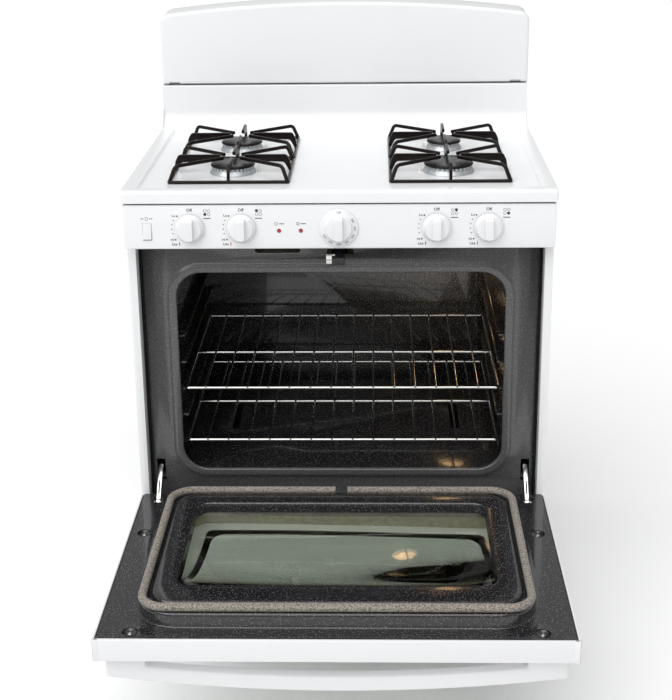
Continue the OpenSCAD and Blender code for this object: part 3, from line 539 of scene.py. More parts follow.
    def thicken(self, thickness: float, outward: Vector) -> None:
        """Gives a sheet its thickness.

        Args:
            thickness: The thickness, in millimetres.
            outward: The way that the sheet's outside faces.
        """
        self.tidy()
        faces = list(self.bm.faces)
        if sum((f.normal * f.calc_area() for f in faces), Vector()).dot(outward) < 0:
            bmesh.ops.reverse_faces(self.bm, faces=faces)
        bmesh.ops.solidify(self.bm, geom=faces, thickness=thickness)

    def tidy(self) -> None:
        """Merges doubles, takes out faces of no size and turns the faces outwards."""
        bmesh.ops.remove_doubles(self.bm, verts=self.bm.verts, dist=0.001)
        bmesh.ops.dissolve_degenerate(self.bm, edges=self.bm.edges, dist=0.0005)
        bmesh.ops.recalc_face_normals(self.bm, faces=self.bm.faces)

    def mesh(self, name: str) -> bpy.types.Mesh:
        """Turns the form into a mesh, which ends the form.

        Args:
            name: The mesh's name.

        Returns:
            The mesh.
        """
        mesh = bpy.data.meshes.new(name)
        self.bm.to_mesh(mesh)
        self.bm.free()
        return mesh

    def make(
        self, name: str, finish: str, body: str, place: Matrix, replaces: Sequence[str] = (),
        angle: float = 32.0, slot: str | None = None, tidy: bool = True,
    ) -> bpy.types.Object:
        """Makes the finished piece and sets it in place.

        Args:
            name: The piece's name.
            finish: The name of its finish.
            body: The CAD body that it moves with.
            place: The matrix from its own frame to the row frame.
            replaces: The CAD nodes that it stands for.
            angle: The angle past which an edge looks sharp, in degrees.
            slot: The record's material slot, if it isn't the finish's name; not used.
            tidy: Whether its faces still have to be merged and turned outwards.

        Returns:
            The piece.
        """
        if tidy:
            self.tidy()
        bmesh.ops.transform(self.bm, matrix=place, verts=self.bm.verts)
        if place.determinant() < 0:
            bmesh.ops.reverse_faces(self.bm, faces=self.bm.faces)
        mesh = self.mesh(name)
        mesh.materials.append(FINISHES[finish].material())
        mesh.shade_smooth()
        mesh.set_sharp_from_angle(angle=math.radians(angle))
        piece = add_object(name, mesh)
        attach(piece, body)
        if replaces:
            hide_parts(*replaces)
        log.info("%s: %d faces", name, len(mesh.polygons))
        return piece


def from_cad(node: str) -> Form:
    """Gives a copy of a CAD node as a form, in metres of the row frame, with its flat faces whole.

    Args:
        node: The CAD node's name.

    Returns:
        The form.
    """
    form = Form()
    form.bm.from_mesh(frame["nodes"][node].data)
    bmesh.ops.remove_doubles(form.bm, verts=form.bm.verts, dist=MERGE)
    bmesh.ops.dissolve_limit(
        form.bm, angle_limit=math.radians(0.6), use_dissolve_boundaries=False,
        verts=form.bm.verts, edges=form.bm.edges,
    )
    return form


def eased(
    node: str, width: float = 0.3, segments: int = 2, keep: Callable[[BMEdge], bool] = lambda e: True,
    finish: str | None = None, angle: float = 32.0,
) -> bpy.types.Object:
    """Makes the shown piece of a CAD node, with its sharp edges rounded.

    Args:
        node: The CAD node's name.
        width: The rounding's size, in millimetres.
        segments: Pieces in the rounding.
        keep: Says which of the sharp edges are rounded.
        finish: The name of its finish, if it isn't its slot's.
        angle: The angle past which an edge looks sharp, in degrees.

    Returns:
        The piece.
    """
    form = from_cad(node)
    form.ease(width * MM, segments, keep=keep)
    slot = SLOT_OF[node]
    return form.make(
        f"{node}_shown", finish or slot, BODY_OF[node], Matrix.Identity(4), (node,), angle, slot, tidy=False
    )


def middle(edge: BMEdge) -> Vector:
    """Gives the middle of an edge.

    Args:
        edge: The edge.

    Returns:
        Its middle.
    """
    return (edge.verts[0].co + edge.verts[1].co) / 2


def on_outline(node: str) -> Callable[[BMEdge], bool]:
    """Gives a test for the edges of a CAD node's outline, its back left out.

    Args:
        node: The node's name.

    Returns:
        The test, which says whether an edge lies on two sides of the node's box.
    """
    low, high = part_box(node)

    def test(edge: BMEdge) -> bool:
        """Says whether an edge is on the outline."""
        spot = middle(edge)
        gaps = (spot.x - low.x, high.x - spot.x, spot.y - low.y, spot.z - low.z, high.z - spot.z)
        return sum(gap < 0.4 * MM for gap in gaps) >= 2

    return test


def cut(
    piece: bpy.types.Object, blocks: Sequence[tuple[Sequence[float], Sequence[float]]], place: Matrix
) -> None:
    """Cuts blocks out of a piece.

    Args:
        piece: The piece.
        blocks: The blocks' lowest and highest corners.
        place: The matrix from the blocks' frame to the row frame.
    """
    form = Form()
    for low, high in blocks:
        form.box(low, high)
    bmesh.ops.transform(form.bm, matrix=place, verts=form.bm.verts)
    bmesh.ops.recalc_face_normals(form.bm, faces=form.bm.faces)
    mesh = form.mesh("cutter")
    cutter = add_object("cutter", mesh)
    change = piece.modifiers.new("cut", "BOOLEAN")
    change.operation, change.object, change.solver = "DIFFERENCE", cutter, "EXACT"
    seen = piece.evaluated_get(bpy.context.evaluated_depsgraph_get())
    fresh = bpy.data.meshes.new_from_object(seen)
    piece.modifiers.clear()
    old = piece.data
    fresh.name = old.name
    piece.data = fresh
    bpy.data.meshes.remove(old)
    bpy.data.objects.remove(cutter)
    bpy.data.meshes.remove(mesh)


# ---- cooktop and backguard ---------------------------------------------------


@dataclass
class Cooktop:
    """The one-piece enamelled top with its coved splash wall, in the cabinet's frame."""

    half: float = 378.6
    front: float = -42.0
    bottom: float = 892.0
    rim: float = 914.0
    surface: float = 908.0
    rim_width: float = 22.0
    slope: float = 8.0
    wall_y: float = 514.0
    wall_top: float = 999.0
    ledge_y: float = 530.0
    back: float = 609.8
    cove: float = 62.0
    fold: float = 3.2
    sheet: float = 1.2

    def build(self) -> None:
        """Builds the top."""
        line = rounded_path(
            [
                (0, self.front, self.bottom), (0, self.front, self.rim),
                (0, self.front + self.rim_width, self.rim),
                (0, self.front + self.rim_width + self.slope, self.surface),
                (0, self.wall_y, self.surface), (0, self.wall_y, self.wall_top),
                (0, self.ledge_y, self.wall_top),
            ],
            [0, 9, 6, 6, self.cove, 4, 0],
        )
        form = Form()
        inner = self.half - self.rim_width
        spans = [inner - self.slope * f for f in (0, 0.25, 0.5, 0.75, 1)]
        stations = [-self.half, *[-s for s in spans], *spans[::-1], self.half]
        form.sweep_line(line, stations)
        for vert in form.bm.verts:
            share = min(1.0, max(0.0, (abs(vert.co.x) - inner) / self.slope + 1))
            lift = self.surface + (self.rim - self.surface) * (3 - 2 * share) * share * share
            if vert.co.y > self.front + self.rim_width / 2 and vert.co.z < lift:
                vert.co.z = lift
        self._close_ends(form)
        form.thicken(self.sheet, Vector((0, 0, 1)))
        form.make("cooktop_shown", "white_enamel", "range_body", CABINET, ("cooktop",), tidy=False)

    def _close_ends(self, form: Form) -> None:
        """Closes both ends with a plate and rounds the fold.

        Args:
            form: The top's form.
        """
        bm = form.bm
        folds = []
        for x in (-self.half, self.half):
            ends = [e for e in bm.edges if all(abs(v.co.x - x) < 0.01 for v in e.verts)]
            first = min((v for e in ends for v in e.verts), key=lambda v: (v.co.z, v.co.y))
            outline = walk(first, ends)
            corners = [bm.verts.new((x, self.back, z)) for z in (self.wall_top, self.bottom)]
            bm.faces.new([*outline, *corners])
            folds += ends
        bevel(bm, folds, self.fold, 4)


@dataclass
class Backguard:
    """The crowned guard behind the splash wall, in the cabinet's frame."""

    half: float = 379.5
    front: float = 514.0
    back: float = 610.8
    foot: float = 1002.0
    shoulder: float = 1144.0
    crown: float = 24.0
    corner: float = 18.0
    edge: float = 7.0
    notch_width: float = 22.0
    notch_height: float = 5.0
    notch_depth: float = 12.0
    notch_inset: float = 26.0
    crown_steps: int = 12

    def build(self) -> None:
        """Builds the guard."""
        form = Form()
        shares = [i / self.crown_steps for i in range(-self.crown_steps, self.crown_steps + 1)]
        crest = [(-self.half * share, self.shoulder + self.crown * (1 - share**2)) for share in shares]
        corners = [(-self.half, self.foot), (self.half, self.foot), *crest]
        verts = [form.bm.verts.new((x, self.back, z)) for x, z in corners]
        form.bm.faces.new(verts)
        bevel(form.bm, [verts[2], verts[-1]], self.corner, 8, "VERTICES")
        face = next(iter(form.bm.faces))
        far = set(form.raise_solid([face], (0, self.front - self.back, 0)))
        form.ease(self.edge, 5, keep=lambda e: e.verts[0] in far and e.verts[1] in far)
        piece = form.make("backguard_shown", "white_enamel", "range_body", CABINET, ("backguard",))
        side, reach = self.half - self.notch_inset, self.notch_width / 2
        far_corner = (self.front + self.notch_depth, self.foot + self.notch_height)
        near_corner = (self.front - 1, self.foot - 1)
        notches = [((x - reach, *near_corner), (x + reach, *far_corner)) for x in (-side, side)]
        cut(piece, notches, CABINET)


# ---- burners and grates ------------------------------------------------------


@dataclass
class Burner:
    """One sealed burner: a cast head with ports and an enamelled cap."""

    x: float
    y: float
    radius: float
    name: str
    surface: float = 908.0
    foot: float = 876.0
    height: float = 13.0
    ports: int = 30

    def build(self, replaced: bool) -> None:
        """Builds the head and its cap.

        Args:
            replaced: Whether this burner's pieces stand for the CAD nodes of all four.
        """
        r, z = self.radius, self.surface
        head = Form()
        top = z + self.height
        head.lathe(
            [
                (0, self.foot), (r - 9, self.foot), (r - 9, z - 1), (r - 8, z), (r + 1.4, z),
                (r + 2, z + 0.6), (r + 1.6, z + 1.8), (r - 2.4, top - 5.6), (r - 3.4, top - 4.8),
                (r - 3.8, top - 3.8), (r - 7.5, top - 3.8), (r - 7.5, top), (0, top),
            ]
        )
        width = math.tau * (r - 6) / self.ports - 1.9
        tooth = head.box((r - 8, -width / 2, top - 4.2), (r - 3.4, width / 2, top))
        rib = head.box((r - 6, -width / 3, z + 1.2), (r + 1.9, width / 3, top - 4.6))
        bmesh.ops.translate(head.bm, vec=(-3.9, 0, 0), verts=[v for v in rib if v.co.z > z + 2])
        verts = [*tooth, *rib]
        edges = list({e for v in verts for e in v.link_edges})
        faces = list({f for v in verts for f in v.link_faces})
        bmesh.ops.spin(
            head.bm, geom=[*verts, *edges, *faces], cent=(0, 0, 0), axis=(0, 0, 1), dvec=(0, 0, 0),
            angle=math.tau * (self.ports - 1) / self.ports, steps=self.ports - 1, use_merge=False,
            use_normal_flip=False, use_duplicate=True,
        )
        place = CABINET @ Matrix.Translation((self.x, self.y, 0))
        stands_for = [("burner_heads",), ("burner_caps",)] if replaced else [(), ()]
        head.make(
            f"burner_head_{self.name}", "burner_aluminium", "range_body", place, stands_for[0]
        )
        cap = Form()
        cap.lathe(
            [
                (0, top + 0.1), (r - 1.2, top + 0.1), (r - 0.3, top + 0.4), (r, top + 1.2), (r, top + 2.6),
                (r - 0.6, top + 3.5), (r - 2, top + 4.2), (r - 6, top + 4.7), (r - 12, top + 5), (0, top + 5),
            ]
        )
        cap.make(f"burner_cap_{self.name}", "black_enamel", "range_body", place, stands_for[1])


@dataclass
class Grate:
    """One single grate: a ring on the cooktop, four bent legs and four fingers."""

    x: float
    y: float
    node: str
    width: float = 220.0
    depth: float = 188.0
    surface: float = 908.0
    top: float = 33.0
    rod: float = 3.5
    ring_rod: float = 3.0
    inset: float = 11.0
    tip: float = 22.0
    finger_width: float = 5.6
    finger_edge: float = 1.2

    def build(self) -> None:
        """Builds the grate."""
        form = Form()
        hx, hy = self.width / 2 - self.rod, self.depth / 2 - self.rod
        low = self.surface + self.ring_rod + 0.2
        high = self.surface + self.top - self.rod
        corners = [(-hx, -hy, low), (hx, -hy, low), (hx, hy, low), (-hx, hy, low)]
        form.tube(rounded_path(corners, 7.0, 6, closed=True), self.ring_rod, closed=True)
        for s in (-1, 1):
            for t in (-1, 1):
                leg = rounded_path(
                    [
                        (s * (hx - 0.6), t * (hy - 0.6), self.surface + 1.5),
                        (s * (hx - self.inset), t * (hy - self.inset), high),
                        (s * self.tip * 0.75, t * self.tip * 0.65, high),
                    ],
                    13.0,
                )
                form.tube(leg, self.rod, 14)
            self._finger(form, s, hx, False)
            self._finger(form, s, hy, True)
        form.make(
            f"{self.node}_shown", "black_enamel", "range_body",
            CABINET @ Matrix.Translation((self.x, self.y, 0)), (self.node,),
        )

    def _finger(self, form: Form, side: int, reach: float, turned: bool) -> None:
        """Adds the flat finger on the middle of one side.

        Args:
            form: The grate's form.
            side: -1 or 1, the side that it stands on.
            reach: The ring's distance from the burner's axis.
            turned: Whether it runs front to back.
        """
        outline = [
            (reach - 3, 2), (reach + 2, 2), (reach - 1, self.top - 12), (reach - 7, self.top),
            (self.tip, self.top), (self.tip, self.top - 6), (reach - 42, self.top - 13),
            (reach - 12, self.top - 14),
        ]
        path = rounded_path([(x, 0, z) for x, z in outline], [0, 0, 8, 8, 2, 2, 30, 7], 5, closed=True)
        before = set(form.bm.verts)
        width = self.finger_width
        verts = [form.bm.verts.new((p.x, -width / 2, self.surface + p.z)) for p in path]
        form.raise_solid([form.bm.faces.new(verts)], (0, width, 0))
        fresh = [v for v in form.bm.verts if v not in before]
        loops = [
            e for v in fresh for e in v.link_edges
            if len(e.link_faces) == 2 and abs(e.verts[0].co.y - e.verts[1].co.y) < 0.01
        ]
        bevel(form.bm, list(set(loops)), self.finger_edge, 2, clamp=True)
        fresh = [v for v in form.bm.verts if v not in before]
        angle = math.radians((90 if turned else 0) + (180 if side < 0 else 0))
        bmesh.ops.transform(form.bm, matrix=Matrix.Rotation(angle, 4, "Z"), verts=fresh)


# ---- control panel -----------------------------------------------------------


@dataclass
class Ink:
    """Marks of one colour, printed on a flat face."""

    name: str
    finish: str
    body: str
    slot: str
    form: Form = field(default_factory=Form)

    def text(
        self, words: str, x: float, y: float, size: float, z: float = 0.0, turn: float = 0.0,
        tilt: float = 0.0,
    ) -> None:
        """Prints words.

        Args:
            words: The words.
            x: Their middle.
            y: Their middle's height.
            size: The type's size, in millimetres.
            z: How far in front of the face they lie.
            turn: Their turn in the face, in degrees.
            tilt: Their tilt back from the face, in degrees.
        """
        curve = bpy.data.curves.new("type", "FONT")
        curve.body, curve.size = words, size
        curve.align_x, curve.align_y = "CENTER", "CENTER"
        curve.extrude, curve.resolution_u, curve.offset = INK, 3, 0.02 * size
        holder = add_object("type", curve)
        seen = holder.evaluated_get(bpy.context.evaluated_depsgraph_get())
        mesh = bpy.data.meshes.new_from_object(seen)
        mesh.transform(
            Matrix.Translation((x, y, z)) @ Matrix.Rotation(math.radians(turn), 4, "Z")
            @ Matrix.Rotation(math.radians(tilt), 4, "X")
        )
        self.form.bm.from_mesh(mesh)
        bpy.data.objects.remove(holder)
        bpy.data.curves.remove(curve)
        bpy.data.meshes.remove(mesh)

    def disc(self, x: float, y: float, radius: float, ring: float = 0.0) -> None:
        """Prints a disc or, given a line's width, a ring.

        Args:
            x: Its middle.
            y: Its middle's height.
            radius: Its radius.
            ring: The line's width, or 0 for a full disc.
        """
        bm = self.form.bm
        made = bmesh.ops.create_circle(
            bm, cap_ends=True, radius=radius, segments=20, matrix=Matrix.Translation((x, y, -INK))
        )
        face = made["verts"][0].link_faces[0]
        if ring:
            bmesh.ops.inset_region(
                bm, faces=[face], thickness=ring, depth=0.0, use_boundary=True, use_even_offset=True
            )
            rest = list({f for v in made["verts"] for f in v.link_faces} - {face})
            self.form.open_up(face)
        else:
            rest = [face]
        self.form.raise_solid(rest, (0, 0, 2 * INK))

    def bar(self, low: tuple[float, float], high: tuple[float, float]) -> None:
        """Prints a bar between two corners."""
        self.form.box((*low, -INK), (*high, INK))

    def finish_off(self, place: Matrix) -> None:
        """Sets the marks in place."""
        self.form.make(self.name, self.finish, self.body, place, slot=self.slot)


# each word's place from the knob's axis, and its size
KNOB_WORDS = (
    ("Off", 0.0, 32.4, 7.4), ("Lo", -27.5, 22.5, 6.0), ("Hi", -31.5, -21.0, 6.0), ("Lite", -27.5, -29.0, 6.4),
)
DIAL_WORDS = ("Off", "200", "250", "300", "350", "400", "450", "500")


@dataclass
class ControlPanel:
    """The panel under the cooktop's front with its knobs, lights and marks."""

    face_y: float = -40.0
    knob_z: float = 847.0
    light_z: float = 842.0
    switch_x: float = -335.0
    knob_xs: tuple[float, ...] = (-260.0, -170.0, 170.0, 260.0)
    light_xs: tuple[float, ...] = (-104.0, -66.0)
    served: tuple[tuple[int, int], ...] = ((0, 0), (0, 1), (1, 1), (1, 0))
    dots: float = 31.5
    dial: float = 28.3

    def build(self) -> None:
        """Builds the panel and all that is on it."""
        eased("control_panel", 2.6, 4, on_outline("control_panel"))
        for i, x in enumerate(self.knob_xs, 1):
            self._knob(f"burner_knob_{i}", x)
            eased(f"valve_stem_{i}", 0.2)
        self._knob("oven_knob", 0.0)
        self._marks()
        self._lights()
        eased("light_switch_rocker", 1.1, 3)

    def _knob(self, node: str, x: float) -> None:
        """Builds one knob.

        Args:
            node: Its CAD node.
            x: Its axis from the middle.
        """
        bore = 3.4 * MM
        rear = min(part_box(node)[1].y - bore, self.face_y * MM + FRONT_Y)

        def outside(edge: BMEdge) -> bool:
            """Says whether an edge is on the knob's outside and juts out."""
            spot = middle(edge)
            away = math.hypot(spot.x - x * MM, spot.z - self.knob_z * MM)
            return edge.is_convex and away > bore and spot.y < rear

        eased(node, 1.5, 4, outside, angle=40.0)

    def _marks(self) -> None:
        """Prints the marks round the knobs."""
        black = Ink("panel_marks", "ink_black", "range_body", "dark_steel")
        red = Ink("panel_marks_red", "ink_red", "range_body", "indicator_red")
        for x, (side, row) in zip(self.knob_xs, self.served):
            z = self.knob_z
            for word, across, up, size in KNOB_WORDS:
                black.text(word, x + across, z + up, size)
            black.disc(x - 21.4, z + 22.0, 1.5)
            black.disc(x - 25.6, z - 20.6, 1.5)
            for angle in (153, 168, 183, 198):
                turn = math.radians(angle)
                black.disc(x + self.dots * math.cos(turn), z + self.dots * math.sin(turn), 1.0)
            red.bar((x - 19.8, z - 31.5), (x - 18.2, z - 25.5))
            for i in (0, 1):
                for j in (0, 1):
                    here = (i, j) == (side, row)
                    black.disc(x + 27.5 + i * 6.4, z + 25 + j * 6.4, 2.7, 0.0 if here else 0.6)
            black.bar((x + 24.5, z + 17.0), (x + 37, z + 18.4))
        for i, x in enumerate(self.light_xs):
            z = self.light_z + 12.5
            black.disc(x - 5, z, 2.9, 0.7)
            black.bar((x, z - 0.7), (x + 9, z + 0.7))
            if i:
                black.bar((x - 5.4, z - 1.6), (x - 4.6, z + 1.6))
        x, z = self.switch_x, self.knob_z + 17.5
        black.disc(x, z, 3.0, 0.7)
        for side in (-1, 1):
            ends = sorted((x + side * 5.2, x + side * 10.5))
            black.bar((ends[0], z - 0.6), (ends[1], z + 0.6))
        place = facing(0, self.face_y - 0.05, 0)
        black.finish_off(place)
        red.finish_off(place)
        dial = Ink("oven_knob_marks", "ink_grey", "oven_selector", "dark_steel")
        for turn, word in zip((0, -60, -90, -120, -150, -180, -210, -240), DIAL_WORDS):
            spot = Matrix.Rotation(math.radians(turn), 4, "Z") @ Vector((0, self.dial, 0))
            dial.text(word, spot.x, spot.y, 5.4, 5.05, turn, -13.2)
        dial.finish_off(facing(0, self.face_y - 0.6, self.knob_z))

    def _lights(self) -> None:
        """Builds the two signal lamps."""
        for i, x in enumerate(self.light_xs, 1):
            lens = Form()
            lens.lathe([(0, -8), (3.7, -8), (3.7, 0.4), (3.3, 1.0), (2.2, 1.4), (0, 1.5)], 32)
            lens.make(
                f"signal_lamp_{i}", "indicator_red", "range_body", facing(x, self.face_y, self.light_z),
                ("indicator_lights",) if i == 1 else (),
            )


# ---- cabinet and oven --------------------------------------------------------


@dataclass
class Cabinet:
    """The sheet steel body, its inside and the gas train."""

    seat_y: float = 31.0
    seat_width: float = 20.0
    slope: float = 7.5
    opening_half: float = 300.0
    opening_low: float = 352.014
    opening_high: float = 742.0
    opening_corner: float = 46.0

    def build(self) -> None:
        """Builds the pieces."""
        for side in ("left", "right"):
            eased(f"side_panel_{side}", 0.45, 3)
        for node, width in (("base_frame", 0.3), ("levelling_legs", 0.8), ("drawer_rails", 0.3)):
            eased(node, width)
        for node in ("gas_manifold", "burner_valves", "pressure_regulator", "oven_thermostat"):
            eased(node, 0.6)
        for node in (
            "rear_panel", "flue_duct", "oven_insulation", "burner_supply_tubes", "igniters",
            "door_hinge_brackets",
        ):
            dress(node)
        self._frame()

    def _frame(self) -> None:
        """Builds the front frame, whose seat slopes down to the frame round its outside."""
        form = from_cad("front_frame")
        seat = FRONT_Y + self.seat_y * MM
        half = (self.opening_half + self.seat_width) * MM
        foot = (self.opening_low - self.seat_width) * MM
        head = (self.opening_high + self.seat_width) * MM
        round_off = (self.opening_corner + self.seat_width) * MM
        core = Vector((half - round_off, 0, (head - foot) / 2 - round_off))
        centre = Vector((0, 0, (head + foot) / 2))
        for vert in form.bm.verts:
            if abs(vert.co.y - seat) > 0.2 * MM:
                continue
            spot = vert.co - centre
            across, up = min(max(spot.x, -core.x), core.x), min(max(spot.z, -core.z), core.z)
            away = spot - Vector((across, spot.y, up))
            if away.length > round_off - 2 * MM:
                vert.co -= away.normalized() * self.slope * MM

        def crest(edge: BMEdge) -> bool:
            """Says whether an edge is on the seat's front."""
            return all(abs(v.co.y - seat) < 0.2 * MM for v in edge.verts)

        form.ease(3.0 * MM, 5, 20.0, crest)
        # the frame takes the lighter copy of the oven enamel, whose paler base paints in the frame's brighter
        # reflection; its record slot stays oven_enamel
        form.make(
            "front_frame_shown", "frame_enamel_painted_light", "range_body", Matrix.Identity(4), ("front_frame",), 40.0,
            "oven_enamel", False,
        )


def dress(node: str) -> None:
    """Gives its finish to a CAD node that is shown as it is.

    Args:
        node: The node's name.
    """
    mesh = frame["nodes"][node].data
    mesh.materials.clear()
    mesh.materials.append(FINISHES[SLOT_OF[node]].material())


@dataclass
class Oven:
    """The oven's lining, what is fitted in it, and its two racks."""

    wall_x: float = 305.0

    def build(self) -> None:
        """Builds the pieces."""

        def rib(edge: BMEdge) -> bool:
            """Says whether an edge is on a rack guide."""
            return abs(middle(edge).x) < (self.wall_x - 2) * MM

        eased("oven_wall_left", 2.0, 4, rib)
        eased("oven_wall_right", 2.0, 4, rib)
        eased("oven_floor", 0.5)
        eased("oven_ceiling", 0.3)
        eased("oven_rear_wall", 0.3)
        for node in ("bake_burner", "broil_burner", "temperature_sensor", "oven_lamp"):
            eased(node, 0.4)


@dataclass
class Rack:
    """One wire rack."""

    node: str
    height: float
    half: float = 293.0
    front: float = 43.0
    depth: float = 407.0
    cross: float = 0.46
    bar: float = 3.0
    wire: float = 2.0
    pitch: float = 39.2
    wires: int = 14

    def build(self) -> None:
        """Builds the rack."""
        form = Form()
        half, z = self.half, self.height
        near, cross, back = (self.front + self.depth * share for share in (0.0, self.cross, 1.0))
        corners = [(-half, near, z), (half, near, z), (half, back, z), (-half, back, z)]
        form.tube(rounded_path(corners, 12.0, 6, closed=True), self.bar, closed=True)
        form.tube([(-half, cross, z), (half, cross, z)], self.bar)
        for i in range(self.wires):
            x, top = (i + 0.5 - self.wires / 2) * self.pitch, z + self.bar
            form.tube([(x, near - self.bar, top), (x, back + self.bar, top)], self.wire)
        form.make(f"{self.node}_shown", "chrome_wire", BODY_OF[self.node], CABINET, (self.node,))


# ---- door --------------------------------------------------------------------


# pressed steps, outside to inside, as pairs of how far in and how far up
SHELF_STEPS = (
    (2.2, 0.5), (1.5, 1.3), (0.9, 2.6), (1.2, 14.4), (0.8, 2.6), (1.3, 1.9), (1.8, 1.2), (2.3, 0.5),
    (10.6, 0.0), (1.3, 0.3), (1.0, 0.9), (1.2, 3.0), (1.0, 1.6), (1.3, 1.2), (1.7, 0.7), (2.2, 0.3),
)
WINDOW_STEPS = ((1.6, -0.4), (1.3, -1.0), (0.9, -2.0), (1.4, -11.6), (0.8, -3.0))
DIMPLE_STEPS = ((1.2, -0.2), (1.2, -0.6), (3.4, -2.2), (1.2, -0.4))


@dataclass
class Door:
    """The lowered oven door, drawn from its hinge axis: x across, y towards the handle, z up."""

    half: float = 378.5
    length: float = 490.986
    outer: float = -27.0
    rim: float = 11.0
    tail: float = 14.0
    shelf_half: float = 324.0
    shelf_low: float = 21.0
    shelf_corner: float = 70.0
    window_half: float = 258.0
    window_low: float = 91.0
    window_high: float = 374.0
    window_corner: float = 22.0
    arm_x: float = 345.0
    gasket_half: float = 310.0
    gasket_low: float = 35.0
    gasket_corner: float = 56.0
    gasket_height: float = 43.0
    gasket_radius: float = 6.9
    gasket_gap: float = 11.0
    screws: tuple[tuple[float, float], ...] = ((322.0, 467.0), (349.0, 143.0))
    screw_depth: float = 3.2

    def build(self) -> None:
        """Builds the door's pieces."""
        self._liner()
        self._gasket()
        self._screws()
        self._trim()
        self._handle()
        eased("door_outer_panel", 0.5, 3)
        self._hems()
        self._wool()
        eased("door_inner_glass", 0.5)
        eased("door_outer_glass", 0.5)

    def _liner(self) -> None:
        """Presses the liner: rim, gasket shelf, raised middle and window recess."""
        form = Form()
        edge = self.half - 5.5
        high = self.length - self.gasket_low - 11
        shelf = form.oblong(
            (-self.shelf_half, self.shelf_low), (self.shelf_half, high + 14), self.rim, self.shelf_corner
        )
        outlines = list(shelf.edges)
        dimples = [self._dimple(form, side * x, y) for x, y in self.screws for side in (-1, 1)]
        outlines += [e for edges in dimples for e in edges]
        rim = form.oblong((-edge, -self.tail), (edge, self.length - 6.5), self.rim, 1.5)
        outlines += form.open_up(rim)
        form.press(shelf, SHELF_STEPS)
        seen = form.open_up(shelf)
        lip = sum(inset for inset, _ in WINDOW_STEPS)
        half = self.window_half + lip
        window = form.oblong(
            (-half, self.window_low - lip), (half, self.window_high + lip),
            self.rim + sum(rise for _, rise in SHELF_STEPS), self.window_corner + lip,
        )
        form.fill([*seen, *window.edges])
        form.fill(outlines)
        form.press(window, WINDOW_STEPS)
        form.open_up(window)
        form.thicken(1.1, Vector((0, 0, 1)))
        liner = form.make("door_liner_shown", "oven_enamel", "door", DOOR, ("door_liner",), tidy=False)
        slots = [((x - 8, -self.tail - 1, 5), (x + 8, 24, 14)) for x in (-self.arm_x, self.arm_x)]
        cut(liner, [*slots, ((-34, self.length - 24, 5), (-1, self.length - 18, 14))], DOOR)

    def _dimple(self, form: Form, x: float, y: float) -> list[BMEdge]:
        """Presses the dimple of a screw into the rim.

        Args:
            form: The liner's form.
            x: The screw's place across.
            y: Its distance from the hinge axis.

        Returns:
            The edges of the dimple's outline.
        """
        made = bmesh.ops.create_circle(
            form.bm, cap_ends=True, radius=13.0, segments=32, matrix=Matrix.Translation((x, y, self.rim))
        )
        face = made["verts"][0].link_faces[0]
        edges = list(face.edges)
        form.press(face, DIMPLE_STEPS)
        return edges

    def _gasket(self) -> None:
        """Lays the braided gasket on its shelf."""
        high = self.length - 46
        h, g, z = self.gasket_half, self.gasket_gap, self.gasket_height
        low = self.gasket_low
        corners = [(g, low, z), (h, low, z), (h, high, z), (-h, high, z), (-h, low, z), (-g, low, z)]
        form = Form()
        form.tube(rounded_path(corners, self.gasket_corner, 14), self.gasket_radius, 18)
        form.make("door_gasket_shown", "gasket_braid", "door", DOOR, ("door_gasket",))

    def _screws(self) -> None:
        """Sets the screws in their dimples."""
        form = Form()
        profile = [(0, -3), (4.4, -3), (4.4, 0), (4.1, 1.0), (3.2, 1.7), (1.6, 2.2), (0.9, 1.2), (0, 1.1)]
        for x, y in self.screws:
            for side in (-1, 1):
                form.lathe(profile, 28, (side * x, y, self.rim - self.screw_depth))
        form.make("door_screws_shown", "plated_steel", "door", DOOR, ("door_screws",))

    def _wool(self) -> None:
        """Lays the wool, which sits lower under the rim so that the dimples clear it."""
        form, sink = from_cad("door_insulation"), 5.0
        for vert in form.bm.verts:
            if self.rim - sink < (vert.co.z - hinge_axis().z) / MM < self.rim:
                vert.co.z -= sink * MM
        form.make(
            "door_insulation_shown", "insulation_wool", "door", Matrix.Identity(4),
            ("door_insulation",), tidy=False,
        )

    def _hems(self) -> None:
        """Folds the hems along the skin's two side edges, and sets near-black blocks inside them as painted shade
        in the gaps between skin and liner.
        """
        half, end, rim = self.half, self.length, self.rim
        hems = Form()
        hems.mirrored((half - 3.2, -self.tail + 0.2, rim - 5), (half - 0.1, end - 6.5, rim + 0.2))
        hems.ease(0.9, 3)
        hems.make("door_skin_hems", "white_trim", "door", DOOR)
        # near-black blocks in the gaps between the skin's sides and the liner: painted shade where those gaps look
        # dark
        gap_shade = Form()
        gap_shade.mirrored((half - 6.2, -self.tail + 0.6, self.outer + 4), (half - 3, end - 7, rim - 4))
        gap_shade.make("door_edge_gap_shade", "foot_plastic", "door", DOOR)

    def _trim(self) -> None:
        """Builds the white strip on the door's top edge and its two end caps."""
        half, end, top = self.half, self.length, self.rim + 0.5
        strip = Form()
        strip.box((-half + 1.4, end - 6, self.outer), (half - 1.4, end - 0.4, top))
        strip.ease(1.5, 4)
        strip.make("door_trim_shown", "white_trim", "door", DOOR, ("door_trim",))
        caps = Form()
        caps.mirrored((half - 1.3, end - 26, self.outer), (half, end, top))
        caps.mirrored((half - 9, end - 5.9, self.outer), (half, end, top))
        caps.ease(0.5, 2)
        caps.make("door_trim_end_caps", "white_trim", "door", DOOR)

    def _handle(self) -> None:
        """Builds the bowed handle."""
        face = hinge_axis().z + (self.outer + 0.3) * MM

        def outside(edge: BMEdge) -> bool:
            """Says whether an edge is away from the door's face."""
            return middle(edge).z < face

        eased("door_handle", 5.0, 5, outside, angle=40.0)


